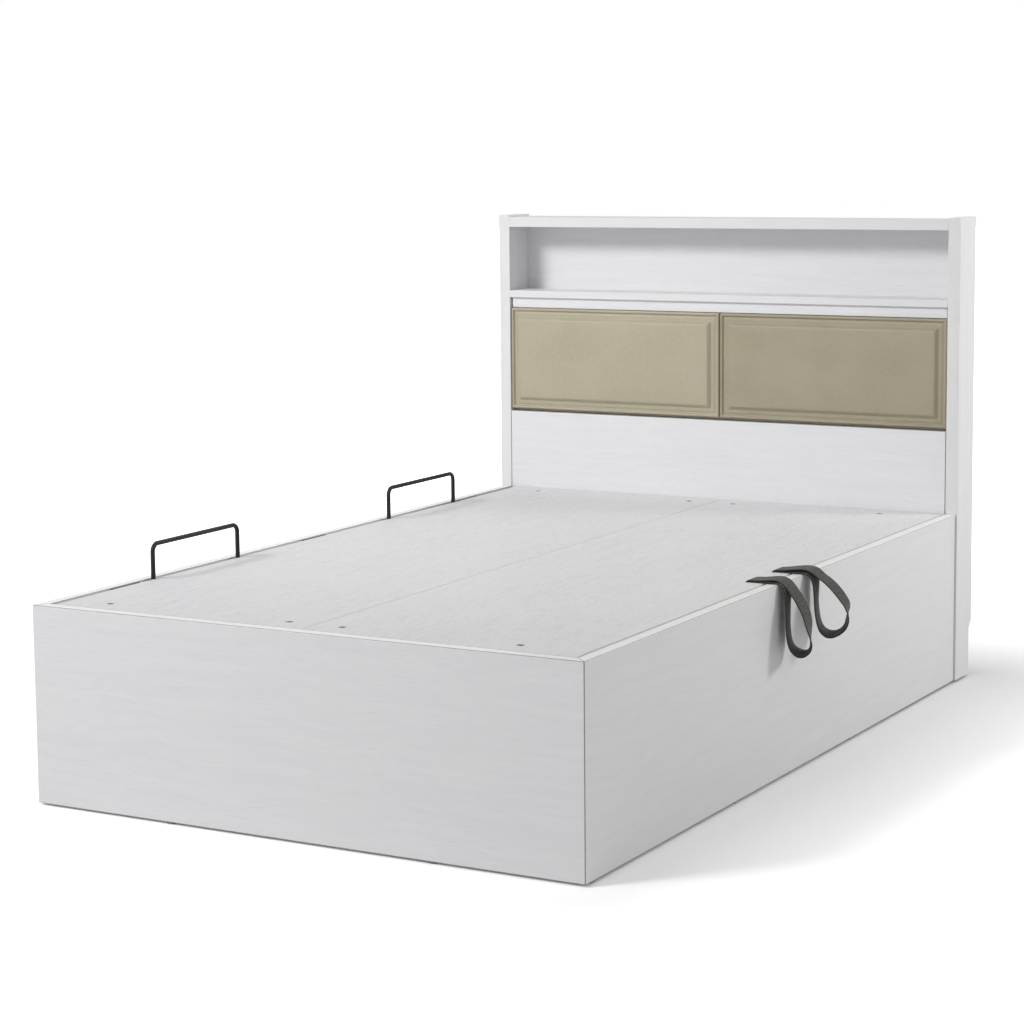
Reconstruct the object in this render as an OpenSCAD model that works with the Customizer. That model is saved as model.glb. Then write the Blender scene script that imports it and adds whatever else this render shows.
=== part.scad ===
// Tatami platform bed with a shelf headboard and an under-bed store that opens from one side.
// Millimetres. X runs across the bed, Y from the foot to the head, Z up. The origin is on the
// floor, under the middle of the bed base. The platform is hinged along its left side.

/* [Bed base] */
// Width over the two side panels
base_w = 1240; // [1000:10:1500]
// Length from the foot face to the front of the headboard
base_l = 1940; // [1800:10:2100]
// Height of the rims above the floor
rim_h = 410; // [390:5:460]
// Thickness of the side panels and of the foot panel
panel_t = 25; // [18:1:30]
// Height of the glides that hold the panels off the floor
glide_h = 5; // [3:1:12]
// Radius of a glide
glide_r = 9; // [6:1:11]
// Thickness of the board that divides the store
divider_t = 15; // [12:1:22]
// Thickness of the store's bottom boards
bottom_t = 9; // [6:1:15]
// Height and width of the cleats that carry the bottom boards
cleat_s = 15; // [12:1:24]
// Height and width of the ledges that the platform rests on
ledge_s = 30; // [24:1:36]
// Thickness of the rubber pads on the ledges
pad_t = 2; // [1:0.5:4]

/* [Platform] */
// Thickness of the two platform boards
board_t = 15; // [12:1:18]
// How far the platform lies below the rims
platform_drop = 0; // [0:1:6]
// Gap beside the hinged edge
hinge_side_gap = 15; // [13:1:22]
// Gap beside the pulled edge
pull_gap = 6; // [3:0.5:8]
// Gap at both ends
edge_gap = 3; // [2:0.5:6]
// Gap between the two boards
seam_gap = 2; // [1:0.5:4]
// Width of the steel frame tubes
tube_w = 30; // [24:1:40]
// Height of the steel frame tubes
tube_h = 25; // [20:1:30]
// Wall of the steel frame tubes
tube_wall = 1.6; // [1:0.1:3]
// Number of cross tubes between the two end tubes
cross_tubes = 5; // [2:1:8]

/* [Platform bolts] */
// Radius of a bolt head
bolt_head_r = 8; // [6:0.5:10]
// Height of a bolt's countersunk head
bolt_head_h = 4; // [3:0.1:5]
// How far the bolt heads lie below the face of the board
bolt_sink = 0.6; // [0.2:0.1:1.5]
// Radius of a bolt shank
bolt_r = 3; // [2:0.5:4]
// From the end of a board to its bolt row
bolt_end_inset = 52; // [50:1:80]
// From the hinged edge to the first bolts
bolt_inset_hinge = 95; // [70:1:150]
// From the seam to the bolts beside it
bolt_inset_seam = 60; // [30:1:100]
// From the pulled edge to the last bolts
bolt_inset_pull = 140; // [120:1:220]

/* [Mattress bars] */
// Radius of the round bar
bar_r = 5; // [4:0.5:6]
// Length of each bar along the bed
bar_l = 320; // [240:10:420]
// Height of each bar above the platform
bar_h = 79; // [60:1:120]
// Bend radius at the bar's centre line
bar_bend = 17; // [12:1:30]
// From the end of the platform to the middle of each bar
bar_inset = 480.5; // [320:0.5:640]
// From the inner face of the side panel to the middle of a leg
bar_stand_off = 12.5; // [11.5:0.5:14]
// From a bar's leg to its screw
bar_screw_pitch = 18; // [14:1:24]
// Thickness of the foot plate under each leg
bar_plate_t = 2.5; // [2:0.5:4]

/* [Lift hinges] */
// Radius of the hinge knuckles
lift_knuckle_r = 4.5; // [4:0.25:5]
// Radius of the hinge pins
lift_pin_r = 2.5; // [2:0.25:3]
// Length of each hinge
lift_hinge_l = 90; // [60:5:120]
// How far the leaves reach below the pin
lift_leaf = 34; // [26:1:36]
// From the middle of the platform to the outer hinges
lift_hinge_pitch = 715; // [500:5:780]

/* [Gas struts] */
// From the hinge line to both pivots of a strut
strut_reach = 300; // [270:5:310]
// Angle of the lower pivot below the hinge line
strut_low_angle = 80; // [76:1:84]
// Angle of the upper pivot below the hinge line
strut_high_angle = 9; // [8:0.5:11]
// Radius of the cylinder
cylinder_r = 11; // [9:0.5:14]
// Wall of the cylinder
cylinder_wall = 1.5; // [1:0.25:2.5]
// Length of the cylinder
cylinder_l = 250; // [235:5:260]
// Radius of the rod
rod_r = 5; // [4:0.5:6]
// Length of the rod from its pivot to its piston's end
rod_l = 300; // [285:5:305]
// Radius of the pivot studs
stud_r = 4; // [3:0.25:5]

/* [Pull straps] */
// Width of the webbing
strap_w = 48; // [25:1:50]
// Thickness of the webbing
strap_t = 2.2; // [1.5:0.1:3]
// From the middle of the bed to the middle of the pair
strap_mid = -14; // [-200:2:200]
// From one strap to the other
strap_pitch = 136; // [90:2:300]
// From the pulled edge to the slots
slot_inset = 40; // [38:1:60]
// How far the loop nearer the foot hangs below the rim
loop_drop_foot = 150; // [145:5:200]
// How far its outer strand stands out from the side panel
loop_bulge_foot = 61; // [55:1:66]
// How far its inner strand stands out
loop_stand_off_foot = 12; // [11:1:15]
// How steeply its outer strand leaves the rim, in degrees
loop_slope_foot = 55; // [45:1:60]
// How far the loop nearer the head hangs below the rim
loop_drop_head = 135; // [130:5:200]
// How far its outer strand stands out from the side panel
loop_bulge_head = 88; // [80:1:92]
// How far its inner strand stands out
loop_stand_off_head = 19; // [15:1:22]
// How steeply its outer strand leaves the rim, in degrees
loop_slope_head = 40; // [35:1:45]

/* [Headboard] */
// Height of the posts above the floor
head_h = 1120; // [1000:10:1250]
// Depth of the headboard from front to back
head_d = 110; // [95:5:180]
// Thickness of the posts
post_t = 30; // [24:1:36]
// How far the posts stand out past the side panels
post_proud = 5; // [0:0.5:10]
// Height of the notch that clears a skirting board
notch_h = 115; // [60:5:140]
// Depth of the notch that clears a skirting board
notch_d = 16; // [8:1:25]
// Thickness of the top board
top_t = 25; // [18:1:30]
// How far the posts stand above the top board
top_drop = 5; // [0:1:10]
// Height of the open niche
niche_h = 165; // [120:5:220]
// Thickness of the shelf
shelf_t = 18; // [15:1:25]
// Thickness of the back panel
back_t = 9; // [6:1:12]
// Thickness of the lower panel
lower_t = 22; // [15:1:28]

/* [Padded panels] */
// Height of a padded panel
pad_panel_h = 263; // [200:1:300]
// Height of the rail between the shelf and the padded panels
rail_h = 27.5; // [20:0.5:40]
// How far the rail stands behind the posts
rail_setback = 8; // [4:0.5:15]
// Height of the gap below the padded panels
foot_gap = 7; // [3:0.5:12]
// Gap beside a padded panel
pad_panel_gap = 1.25; // [1:0.25:3]
// How far the leather's border stands behind the posts
border_setback = 3; // [2.5:0.5:5]
// Thickness of a panel's core board
core_t = 17; // [12:1:20]
// Thickness of the padding and leather on the core
leather_t = 6; // [4:0.5:7]
// Thickness of the board behind the padded panels
backing_t = 15; // [12:1:18]
// Width of the raised lip round the leather
lip_w = 6; // [4:0.5:9]
// Height of the lip above the border
lip_h = 1.5; // [0.5:0.25:2]
// From the panel's edge to the raised field
field_inset = 21; // [16:1:40]
// Width of the slope round the raised field
field_slope = 12; // [4:0.5:14]
// Height of the raised field above the border
field_h = 4; // [2:0.5:4.5]
// Corner radius of the raised field
field_corner = 15; // [14.5:0.5:24]

/* [Hidden] */
$fn = 48;

// Clearances and small fixed sizes
running_fit = 0.05;   // radial clearance of a pivot or a sliding rod
pin_end_gap = 0.4;    // between neighbouring knuckles, and from a knuckle to the next board
hole_clear = 0.5;     // round a bar or screw that passes through a board
face_clear = 0.5;     // between faces that pass each other
eps = 0.01;           // overlap of a cutting shape past the face that it cuts

// Colours
c_panel = "#e2e2e4";
c_inside = "#d8d8da";
c_wood = "#cdb893";
c_steel = "#3c3a3a";
c_zinc = "#b9bcc0";
c_rubber = "#2a2a2a";
c_webbing = "#58564f";
c_leather = "#b3ab95";

// Faces of the base
x_out = base_w / 2;
x_in = x_out - panel_t;
y_foot = -base_l / 2;
y_head = base_l / 2;
y_foot_in = y_foot + panel_t;

// Faces of the platform
board_z1 = rim_h - platform_drop;
board_z0 = board_z1 - board_t;
tube_z0 = board_z0 - tube_h;
board_x0 = -x_in + hinge_side_gap;
board_x1 = x_in - pull_gap;
board_y0 = y_foot_in + edge_gap;
board_y1 = y_head - edge_gap;
seam_x = (board_x0 + board_x1) / 2;
mid_y = (board_y0 + board_y1) / 2;
ledge_z1 = board_z0 - pad_t;
ledge_z0 = ledge_z1 - ledge_s;

// Hinge line of the platform
lift_x = -x_in + lift_knuckle_r + pin_end_gap;
lift_z = rim_h - lift_knuckle_r - face_clear;

// Slots, straps and the tube that they are clamped to
slot_x = board_x1 - slot_inset;
strap_ply_gap = 0.3;
strap_stack = 2 * strap_t + strap_ply_gap;
strap_rim_clear = 0.3;
fold_reach = 1.6;       // beyond the board, so that a raised board's edge clears the hanging loop
fold_x = board_x1 + fold_reach;
fold_z = rim_h + strap_rim_clear + strap_stack / 2;
strap_y = [strap_mid - strap_pitch / 2, strap_mid + strap_pitch / 2];
clamp_t = 3;

// Tubes of the frame
tube_left_x0 = lift_x + lift_knuckle_r + pin_end_gap;
tube_right_x1 = slot_x - strap_t;
cross_x0 = tube_left_x0 + tube_w;
cross_x1 = tube_right_x1 - tube_w;
tube_y0 = y_foot_in + ledge_s + edge_gap;
tube_y1 = y_head - ledge_s - edge_gap;
end_tube_y = [board_y0 + bolt_end_inset, board_y1 - bolt_end_inset];
bolt_x = [board_x0 + bolt_inset_hinge, seam_x - bolt_inset_seam, seam_x + bolt_inset_seam,
    board_x1 - bolt_inset_pull];

// Bars
bar_x = -x_in + bar_stand_off;
bar_y = [board_y0 + bar_inset, board_y1 - bar_inset];
bar_leg = bar_l / 2 - bar_r;
bar_screw_r = 2.5;
bar_screw_head_r = 4.5;
bar_screw_x = tube_left_x0 + tube_wall + bar_screw_r + hole_clear;
bar_plate_x0 = bar_x - bar_r;
bar_plate_x1 = tube_left_x0 + 16;
bar_plate_z1 = board_z0 + bar_plate_t;

// Struts: the lower and the upper pivot stand at the same distance from the hinge line, so a
// strut turns through half the platform's angle and its rod stays on its cylinder's axis.
low_x = lift_x + strut_reach * cos(strut_low_angle);
low_z = lift_z - strut_reach * sin(strut_low_angle);
high_x = lift_x + strut_reach * cos(strut_high_angle);
high_z = lift_z - strut_reach * sin(strut_high_angle);
strut_l = norm([high_x - low_x, high_z - low_z]);
strut_angle = atan2(high_z - low_z, high_x - low_x);
eye_t = 12;
eye_r = 8;
neck_l = 30;
bracket_t = 3;
tab_r = 12;
strut_y = end_tube_y[0] + tube_w / 2 + bracket_t + face_clear + eye_t / 2;

// Levels of the headboard
head_y1 = y_head + head_d;
post_x_out = x_out + post_proud;
post_x_in = post_x_out - post_t;
top_z1 = head_h - top_drop;
niche_z1 = top_z1 - top_t;
shelf_z1 = niche_z1 - niche_h;
shelf_z0 = shelf_z1 - shelf_t;
back_y0 = head_y1 - back_t;

// Padded panels
pad_z1 = shelf_z0 - rail_h;
pad_z0 = pad_z1 - pad_panel_h;
lower_z1 = pad_z0 - foot_gap;
leather_y0 = y_head + border_setback;
core_y0 = leather_y0 + leather_t;
core_y1 = core_y0 + core_t;
backing_y1 = core_y1 + backing_t;
pad_w = post_x_in - 2 * pad_panel_gap;

// A rectangular board between two opposite corners
module board(a, b) {
    translate(a) cube(b - a);
}

// Children at the foot end, and mirrored at the head end of the platform
module both_ends() {
    children();
    translate([0, 2 * mid_y, 0]) mirror([0, 1, 0]) children();
}

// Children at the end of the platform that is named: 0 is the foot, 1 the head
module at_end(end) {
    if (end == 0) children();
    else translate([0, 2 * mid_y, 0]) mirror([0, 1, 0]) children();
}

// Steel tube of rectangular section, from corner a to corner b, open at its ends along axis 0 or 1
module steel_tube(a, b, axis) {
    cut = axis == 0 ? [-eps, tube_wall, tube_wall] : [tube_wall, -eps, tube_wall];
    difference() {
        board(a, b);
        board(a + cut, b - cut);
    }
}

// ---- bed base ----

// The foot panel, mitred to the side panels
module foot_panel() {
    color(c_panel) translate([0, 0, glide_h]) linear_extrude(rim_h - glide_h)
        polygon([[-x_out, y_foot], [x_out, y_foot], [x_in, y_foot_in], [-x_in, y_foot_in]]);
}

// A side panel, mitred at the foot and square where it meets the post
module side_panel(side) {
    color(c_panel) translate([0, 0, glide_h]) linear_extrude(rim_h - glide_h)
        polygon([[side * x_out, y_foot], [side * x_out, y_head],
            [side * x_in, y_head], [side * x_in, y_foot_in]]);
}

module store_divider() {
    color(c_inside) board([-x_in, -divider_t / 2, glide_h], [x_in, divider_t / 2, ledge_z0]);
}

bottom_z0 = glide_h + cleat_s;
module bottom_board(y0, y1) {
    color(c_inside) board([-x_in, y0, bottom_z0], [x_in, y1, bottom_z0 + bottom_t]);
}

// Cleats round each of the two bottom boards, a little apart at their corners
module bottom_cleats() {
    color(c_wood) for (span = [[y_foot_in, -divider_t / 2], [divider_t / 2, y_head]]) {
        for (y = [span[0], span[1] - cleat_s])
            board([-x_in, y, glide_h], [x_in, y + cleat_s, bottom_z0]);
        for (x = [-x_in, x_in - cleat_s])
            board([x, span[0] + cleat_s + face_clear, glide_h],
                [x + cleat_s, span[1] - cleat_s - face_clear, bottom_z0]);
    }
}

// Glides under the panels, the posts and the divider; one stands at the origin
glide_rows = 4;
glide_end = 40;
module floor_glides() {
    side_x = x_out - panel_t / 2;
    step = (base_l - 2 * glide_end) / (glide_rows - 1);
    color(c_rubber) {
        for (x = [-side_x, side_x], i = [0 : glide_rows - 1])
            translate([x, y_foot + glide_end + i * step, 0]) cylinder(r = glide_r, h = glide_h);
        for (x = [-side_x, side_x])
            translate([x, y_head + head_d / 2, 0]) cylinder(r = glide_r, h = glide_h);
        for (x = [-x_in / 2, x_in / 2])
            translate([x, y_foot + panel_t / 2, 0]) cylinder(r = glide_r, h = glide_h);
        for (x = [-x_in / 2, 0, x_in / 2])
            translate([x, 0, 0]) cylinder(r = divider_t / 2, h = glide_h);
    }
}

module ledge_side() {
    color(c_wood) board([x_in - ledge_s, y_foot_in + ledge_s, ledge_z0],
        [x_in, y_head - ledge_s, ledge_z1]);
}

// A ledge across one end, short of the hinged side so that it clears the hinges
module ledge_end(y0) {
    color(c_wood) board([cross_x0, y0, ledge_z0], [x_in, y0 + ledge_s, ledge_z1]);
}

// Rubber pads, spread evenly along the three ledges
pad_l = 40;
side_pads = 5;
end_pads = 3;
module ledge_pads() {
    pad_w = ledge_s / 2;
    run_y = tube_y1 - tube_y0 - pad_l;
    run_x = cross_x1 - cross_x0 - pad_l;
    color(c_rubber) {
        for (i = [0 : side_pads - 1])
            translate([x_in - ledge_s * 0.75, tube_y0 + i * run_y / (side_pads - 1), ledge_z1])
                cube([pad_w, pad_l, pad_t]);
        for (y = [y_foot_in + ledge_s / 4, y_head - ledge_s * 0.75], i = [0 : end_pads - 1])
            translate([cross_x0 + i * run_x / (end_pads - 1), y, ledge_z1])
                cube([pad_l, pad_w, pad_t]);
    }
}

// Pressed steel angles in the four corners of the store
angle_leg = 40;
angle_t = 2.5;
angle_l = 120;
module corner_angle() {
    linear_extrude(angle_l) difference() {
        square(angle_leg);
        translate([angle_t, angle_t]) square(angle_leg);
    }
}
module corner_brackets() {
    z0 = (bottom_z0 + bottom_t + ledge_z0 - angle_l) / 2;
    color(c_zinc) for (side = [-1, 1]) {
        translate([side * x_in, y_foot_in, z0]) mirror([side > 0 ? 1 : 0, 0, 0]) corner_angle();
        translate([side * x_in, y_head, z0]) mirror([side > 0 ? 1 : 0, 0, 0])
            mirror([0, 1, 0]) corner_angle();
    }
}

// ---- hinges ----

// Half of a butt hinge. The pin lies along Z from 0 to len, the leaf hangs towards -Y, and side
// says on which side of the pin the leaf lies. spans lists the knuckles from end to end.
module hinge_half(len, knuckle_r, bore_r, leaf_l, leaf_t, side, spans) {
    leaf_x = knuckle_r + pin_end_gap;
    x0 = side > 0 ? leaf_x - leaf_t : -leaf_x;
    top = -knuckle_r - pin_end_gap;
    board([x0, -leaf_l, 0], [x0 + leaf_t, top, len]);
    for (s = spans) difference() {
        union() {
            translate([0, 0, s[0]]) cylinder(r = knuckle_r, h = s[1] - s[0]);
            board([x0, top - eps, s[0]], [x0 + leaf_t, 0, s[1]]);
        }
        translate([0, 0, s[0] - 1]) cylinder(r = bore_r, h = s[1] - s[0] + 2);
    }
}

// Knuckles of the fixed half stand at both ends, and the moving half's knuckle between them
function end_spans(len) = [[0, len * 0.3], [len * 0.7, len]];
function middle_span(len) = [[len * 0.3 + pin_end_gap, len * 0.7 - pin_end_gap]];

// Places the lift hinges, their pins along the bed
lift_leaf_t = 2;
module at_lift_hinges() {
    for (i = [-1 : 1])
        translate([lift_x, mid_y + i * lift_hinge_pitch + lift_hinge_l / 2, lift_z])
            rotate([90, 0, 0]) children();
}
module lift_hinge_fixed_leaves() {
    color(c_zinc) at_lift_hinges() hinge_half(lift_hinge_l, lift_knuckle_r, lift_pin_r,
        lift_leaf, lift_leaf_t, -1, end_spans(lift_hinge_l));
}
module lift_hinge_moving_leaves() {
    color(c_zinc) at_lift_hinges() hinge_half(lift_hinge_l, lift_knuckle_r,
        lift_pin_r + running_fit, lift_leaf, lift_leaf_t, 1, middle_span(lift_hinge_l));
}
module lift_hinge_pins() {
    color(c_steel) at_lift_hinges() cylinder(r = lift_pin_r, h = lift_hinge_l);
}

// ---- gas struts ----

// A stud along +Y with a washer that keeps the eye on it, from the face of its tab
module strut_stud() {
    rotate([-90, 0, 0]) {
        cylinder(r = stud_r, h = eye_t + 2 * face_clear + bracket_t);
        translate([0, 0, eye_t + 2 * face_clear]) cylinder(r = stud_r + 2.5, h = bracket_t);
    }
}

// Lower brackets: a flange on the side panel, and a tab that carries the stud
flange_h = 70;
flange_w = 50;
module strut_base_brackets() {
    tab_y = strut_y - eye_t / 2 - face_clear;
    color(c_steel) both_ends() {
        board([-x_in, tab_y - flange_w / 2, low_z - flange_h / 2],
            [-x_in + bracket_t, tab_y + flange_w / 2, low_z + flange_h / 2]);
        translate([0, tab_y, 0]) rotate([90, 0, 0]) linear_extrude(bracket_t) {
            translate([low_x, low_z]) circle(r = tab_r);
            polygon([[-x_in + bracket_t / 2, low_z - flange_h / 2],
                [low_x, low_z - tab_r], [low_x, low_z + tab_r],
                [-x_in + bracket_t / 2, low_z + flange_h / 2]]);
        }
        translate([low_x, tab_y - eps, low_z]) strut_stud();
    }
}

// Upper brackets: a tab on the side of each end tube
module strut_platform_brackets() {
    tab_y = strut_y - eye_t / 2 - face_clear;
    color(c_steel) both_ends() {
        translate([0, tab_y, 0]) rotate([90, 0, 0]) linear_extrude(bracket_t) {
            translate([high_x, high_z]) circle(r = tab_r);
            translate([high_x - tab_r, high_z]) square([2 * tab_r, board_z0 - 1 - high_z]);
        }
        translate([high_x, tab_y - eps, high_z]) strut_stud();
    }
}

// The eye of a strut, its bore along Y
module strut_eye() {
    rotate([-90, 0, 0]) translate([0, 0, -eye_t / 2]) difference() {
        cylinder(r = eye_r, h = eye_t);
        translate([0, 0, -1]) cylinder(r = stud_r + running_fit, h = eye_t + 2);
    }
}

// Rod with its eye on the lower stud and its piston inside the cylinder
piston_l = 12;
module strut_rod(end) {
    color(c_zinc) at_end(end) translate([low_x, strut_y, low_z]) {
        strut_eye();
        rotate([0, 90 - strut_angle, 0]) {
            translate([0, 0, eye_r - 1.5]) cylinder(r = rod_r, h = rod_l - eye_r + 1.5);
            translate([0, 0, rod_l - piston_l])
                cylinder(r = cylinder_r - cylinder_wall - running_fit, h = piston_l);
        }
    }
}

// Cylinder with its eye on the upper stud, a neck, a blind bore and a gland round the rod
gland_l = 14;
cylinder_end = 6;
module strut_cylinder(end) {
    color(c_steel) at_end(end) translate([high_x, strut_y, high_z]) {
        strut_eye();
        rotate([0, 270 - strut_angle, 0]) difference() {
            union() {
                translate([0, 0, eye_r - 1.5]) cylinder(r = rod_r, h = neck_l - eye_r + 1.5 + eps);
                translate([0, 0, neck_l]) cylinder(r = cylinder_r, h = cylinder_l);
            }
            translate([0, 0, neck_l + cylinder_end])
                cylinder(r = cylinder_r - cylinder_wall, h = cylinder_l - cylinder_end - gland_l);
            translate([0, 0, neck_l + cylinder_end + 1])
                cylinder(r = rod_r + running_fit, h = cylinder_l);
        }
    }
}

// ---- platform ----

// Holes through a board or a tube for the bolts, with a countersink for each head
module bolt_holes(columns) {
    head_z1 = board_z1 - bolt_sink;
    for (x = columns, y = end_tube_y) translate([x, y, 0]) {
        translate([0, 0, tube_z0 + tube_h / 2])
            cylinder(r = bolt_r + hole_clear, h = tube_h + board_t);
        translate([0, 0, head_z1 - bolt_head_h])
            cylinder(r1 = bolt_r + hole_clear, r2 = bolt_head_r, h = bolt_head_h);
        translate([0, 0, head_z1]) cylinder(r = bolt_head_r, h = bolt_sink + 1);
    }
}
// Plates under the bars' legs, wider by grow on every side
module bar_plates(y, grow) {
    for (leg = [-bar_leg, bar_leg])
        board([bar_plate_x0 - grow, y + leg - bar_screw_pitch - 8 - grow, board_z0 - grow],
            [bar_plate_x1 + grow, y + leg + bar_r + 3 + grow, bar_plate_z1 + grow]);
}
// Notches in the platform's edge round the legs and the screw heads, and a rebate for the plates
module bar_notches() {
    for (y = bar_y) {
        bar_plates(y, hole_clear);
        for (leg = [-bar_leg, bar_leg]) {
            translate([bar_x, y + leg, board_z0]) cylinder(r = bar_r + hole_clear, h = board_t + 1);
            translate([bar_screw_x, y + leg - bar_screw_pitch, board_z0])
                cylinder(r = bar_screw_head_r + hole_clear, h = board_t + 1);
        }
    }
}
// Holes in the frame for the screws
module bar_screw_holes() {
    for (y = bar_y, leg = [-bar_leg, bar_leg])
        translate([bar_screw_x, y + leg - bar_screw_pitch, tube_z0 + tube_h / 2])
            cylinder(r = bar_screw_r + hole_clear / 2, h = tube_h);
}

module platform_board_left() {
    color(c_panel) difference() {
        board([board_x0, board_y0, board_z0], [seam_x - seam_gap / 2, board_y1, board_z1]);
        bolt_holes([bolt_x[0], bolt_x[1]]);
        bar_notches();
    }
}

// The right board has a slot for each strap
module platform_board_right() {
    slot_w = strap_stack + 2 * hole_clear;
    slot_l = strap_w + 4 * hole_clear;
    color(c_panel) difference() {
        board([seam_x + seam_gap / 2, board_y0, board_z0], [board_x1, board_y1, board_z1]);
        bolt_holes([bolt_x[2], bolt_x[3]]);
        for (y = strap_y)
            translate([slot_x - slot_w / 2, y - slot_l / 2, board_z0 - 1])
                cube([slot_w, slot_l, board_t + 2]);
    }
}

module frame_tube_left() {
    color(c_steel) difference() {
        steel_tube([tube_left_x0, tube_y0, tube_z0], [cross_x0, tube_y1, board_z0], 1);
        bar_screw_holes();
    }
}
module frame_tube_right() {
    color(c_steel) steel_tube([cross_x1, tube_y0, tube_z0], [tube_right_x1, tube_y1, board_z0], 1);
}
module frame_end_tubes() {
    color(c_steel) difference() {
        for (y = end_tube_y)
            steel_tube([cross_x0, y - tube_w / 2, tube_z0], [cross_x1, y + tube_w / 2, board_z0], 0);
        bolt_holes(bolt_x);
    }
}
module frame_cross_tubes() {
    step = (end_tube_y[1] - end_tube_y[0]) / (cross_tubes + 1);
    color(c_steel) for (i = [1 : cross_tubes]) {
        y = end_tube_y[0] + i * step;
        steel_tube([cross_x0, y - tube_w / 2, tube_z0], [cross_x1, y + tube_w / 2, board_z0], 0);
    }
}

// Countersunk heads with a hexagon socket, on shanks that end inside the end tubes
socket_r = 3;
module platform_bolts() {
    head_z1 = board_z1 - bolt_sink;
    shank_z0 = tube_z0 + tube_h / 2 + 2;
    color(c_zinc) for (x = bolt_x, y = end_tube_y) translate([x, y, 0]) difference() {
        union() {
            translate([0, 0, shank_z0]) cylinder(r = bolt_r, h = head_z1 - 1 - shank_z0);
            translate([0, 0, head_z1 - bolt_head_h])
                cylinder(r1 = bolt_r + hole_clear, r2 = bolt_head_r, h = bolt_head_h);
        }
        translate([0, 0, head_z1 - bolt_head_h * 0.6])
            cylinder(r = socket_r, h = bolt_head_h, $fn = 6);
    }
}

// A quarter bend of the bar, from its leg to its top
module bar_corner() {
    rotate([0, -90, 0]) rotate_extrude(angle = 90) translate([bar_bend, 0]) circle(r = bar_r);
}
module mattress_bar(y) {
    top_z = board_z1 + bar_h - bar_r;
    leg_z0 = bar_plate_z1 - 1;
    color(c_steel) difference() {
        union() {
            translate([bar_x, y, 0]) {
                for (m = [0, 1]) mirror([0, m, 0]) {
                    translate([0, bar_leg, leg_z0])
                        cylinder(r = bar_r, h = top_z - bar_bend - leg_z0);
                    translate([0, bar_leg - bar_bend, top_z - bar_bend]) bar_corner();
                }
                translate([0, -bar_leg + bar_bend, top_z]) rotate([-90, 0, 0])
                    cylinder(r = bar_r, h = 2 * (bar_leg - bar_bend));
            }
            bar_plates(y, 0);
        }
        for (leg = [-bar_leg, bar_leg])
            translate([bar_screw_x, y + leg - bar_screw_pitch, board_z0 - 1])
                cylinder(r = bar_screw_r + hole_clear / 2, h = bar_plate_t + 2);
    }
}
module bar_screws() {
    color(c_steel) for (y = bar_y, leg = [-bar_leg, bar_leg])
        translate([bar_screw_x, y + leg - bar_screw_pitch, bar_plate_z1]) {
            translate([0, 0, -bar_plate_t - tube_wall - 6])
                cylinder(r = bar_screw_r, h = bar_plate_t + tube_wall + 7);
            cylinder(r = bar_screw_head_r, h = bar_screw_r);
        }
}

// ---- pull straps ----

// Plates that clamp the straps to the side of the frame tube, each with its two screws
module strap_clamps() {
    z0 = tube_z0 + 3;
    wing = 12;
    color(c_zinc) for (y = strap_y) {
        board([slot_x + strap_t, y - strap_w / 2 - wing, z0],
            [slot_x + strap_t + clamp_t, y + strap_w / 2 + wing, board_z0 - 2]);
        for (side = [-1, 1])
            translate([tube_right_x1, y + side * (strap_w + wing) / 2, (z0 + board_z0) / 2])
                rotate([0, 90, 0]) cylinder(r = 2.5, h = 2 * strap_t + clamp_t + 2);
    }
}

// The two plies of a strap from their clamp, up through the slot and flat to the pulled edge
module strap_tail(y) {
    end_x = fold_x - strap_stack / 2 - pin_end_gap;
    color(c_webbing) translate([0, y + strap_w / 2, 0]) rotate([90, 0, 0])
        linear_extrude(strap_w) polygon([
            [slot_x - strap_t, tube_z0 + 3],
            [slot_x + strap_t, tube_z0 + 3],
            [slot_x + strap_t, board_z1],
            [end_x, fold_z - strap_stack / 2],
            [end_x, fold_z + strap_stack / 2],
            [slot_x + 3 * strap_t, board_z1 + 2 * strap_stack / 2],
            [slot_x - strap_t / 2, board_z1 + strap_t]
        ]);
}

// Points on an arc round c from angle a to angle b
function arc(c, r, a, b, n) = [for (i = [0 : n])
    c + r * [cos(a + (b - a) * i / n), sin(a + (b - a) * i / n)]];

// A loop leaves its fold over the rim, slopes out, drops, turns round its bottom, comes back up
// beside the panel and closes at the fold. Both plies turn round one centre at the rim's edge.
// Webbing bends in short flats here, so each turn is a row of chords.
module strap_loop(y, drop, bulge, stand_off, slope) {
    ply = (strap_t + strap_ply_gap) / 2;
    inner_r = stand_off + strap_t / 2;
    outer_r = inner_r + 2 * ply;
    drop_r = bulge / 2;
    bottom_r = (bulge - stand_off - strap_t) / 2;
    rim_c = [x_out, fold_z - ply - inner_r];
    bottom_c = [x_out + (bulge + stand_off) / 2, rim_h - drop + strap_t / 2 + bottom_r];
    reach = bottom_c[0] + bottom_r - drop_r - rim_c[0];
    slope_l = (reach - (outer_r - drop_r) * sin(slope)) / cos(slope);
    drop_c = [rim_c[0] + reach,
        rim_c[1] + (outer_r - drop_r) * cos(slope) - slope_l * sin(slope)];
    color(c_webbing) translate([0, y + strap_w / 2, 0]) rotate([90, 0, 0]) linear_extrude(strap_w)
        difference() {
            polygon(loop_line(strap_t / 2));
            polygon(loop_line(-strap_t / 2));
        }
    // The loop's line at a distance s outside the middle of the webbing
    function loop_line(s) = concat(
        arc(rim_c, outer_r + s, 90, 90 - slope, 6),
        arc(drop_c, drop_r + s, 90 - slope, 0, 6),
        arc(bottom_c, bottom_r + s, 0, -180, 18),
        arc(rim_c, inner_r - s, 0, 90, 10),
        arc([fold_x, fold_z], ply + s, 270, 90, 8));
}

// ---- headboard ----

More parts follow.
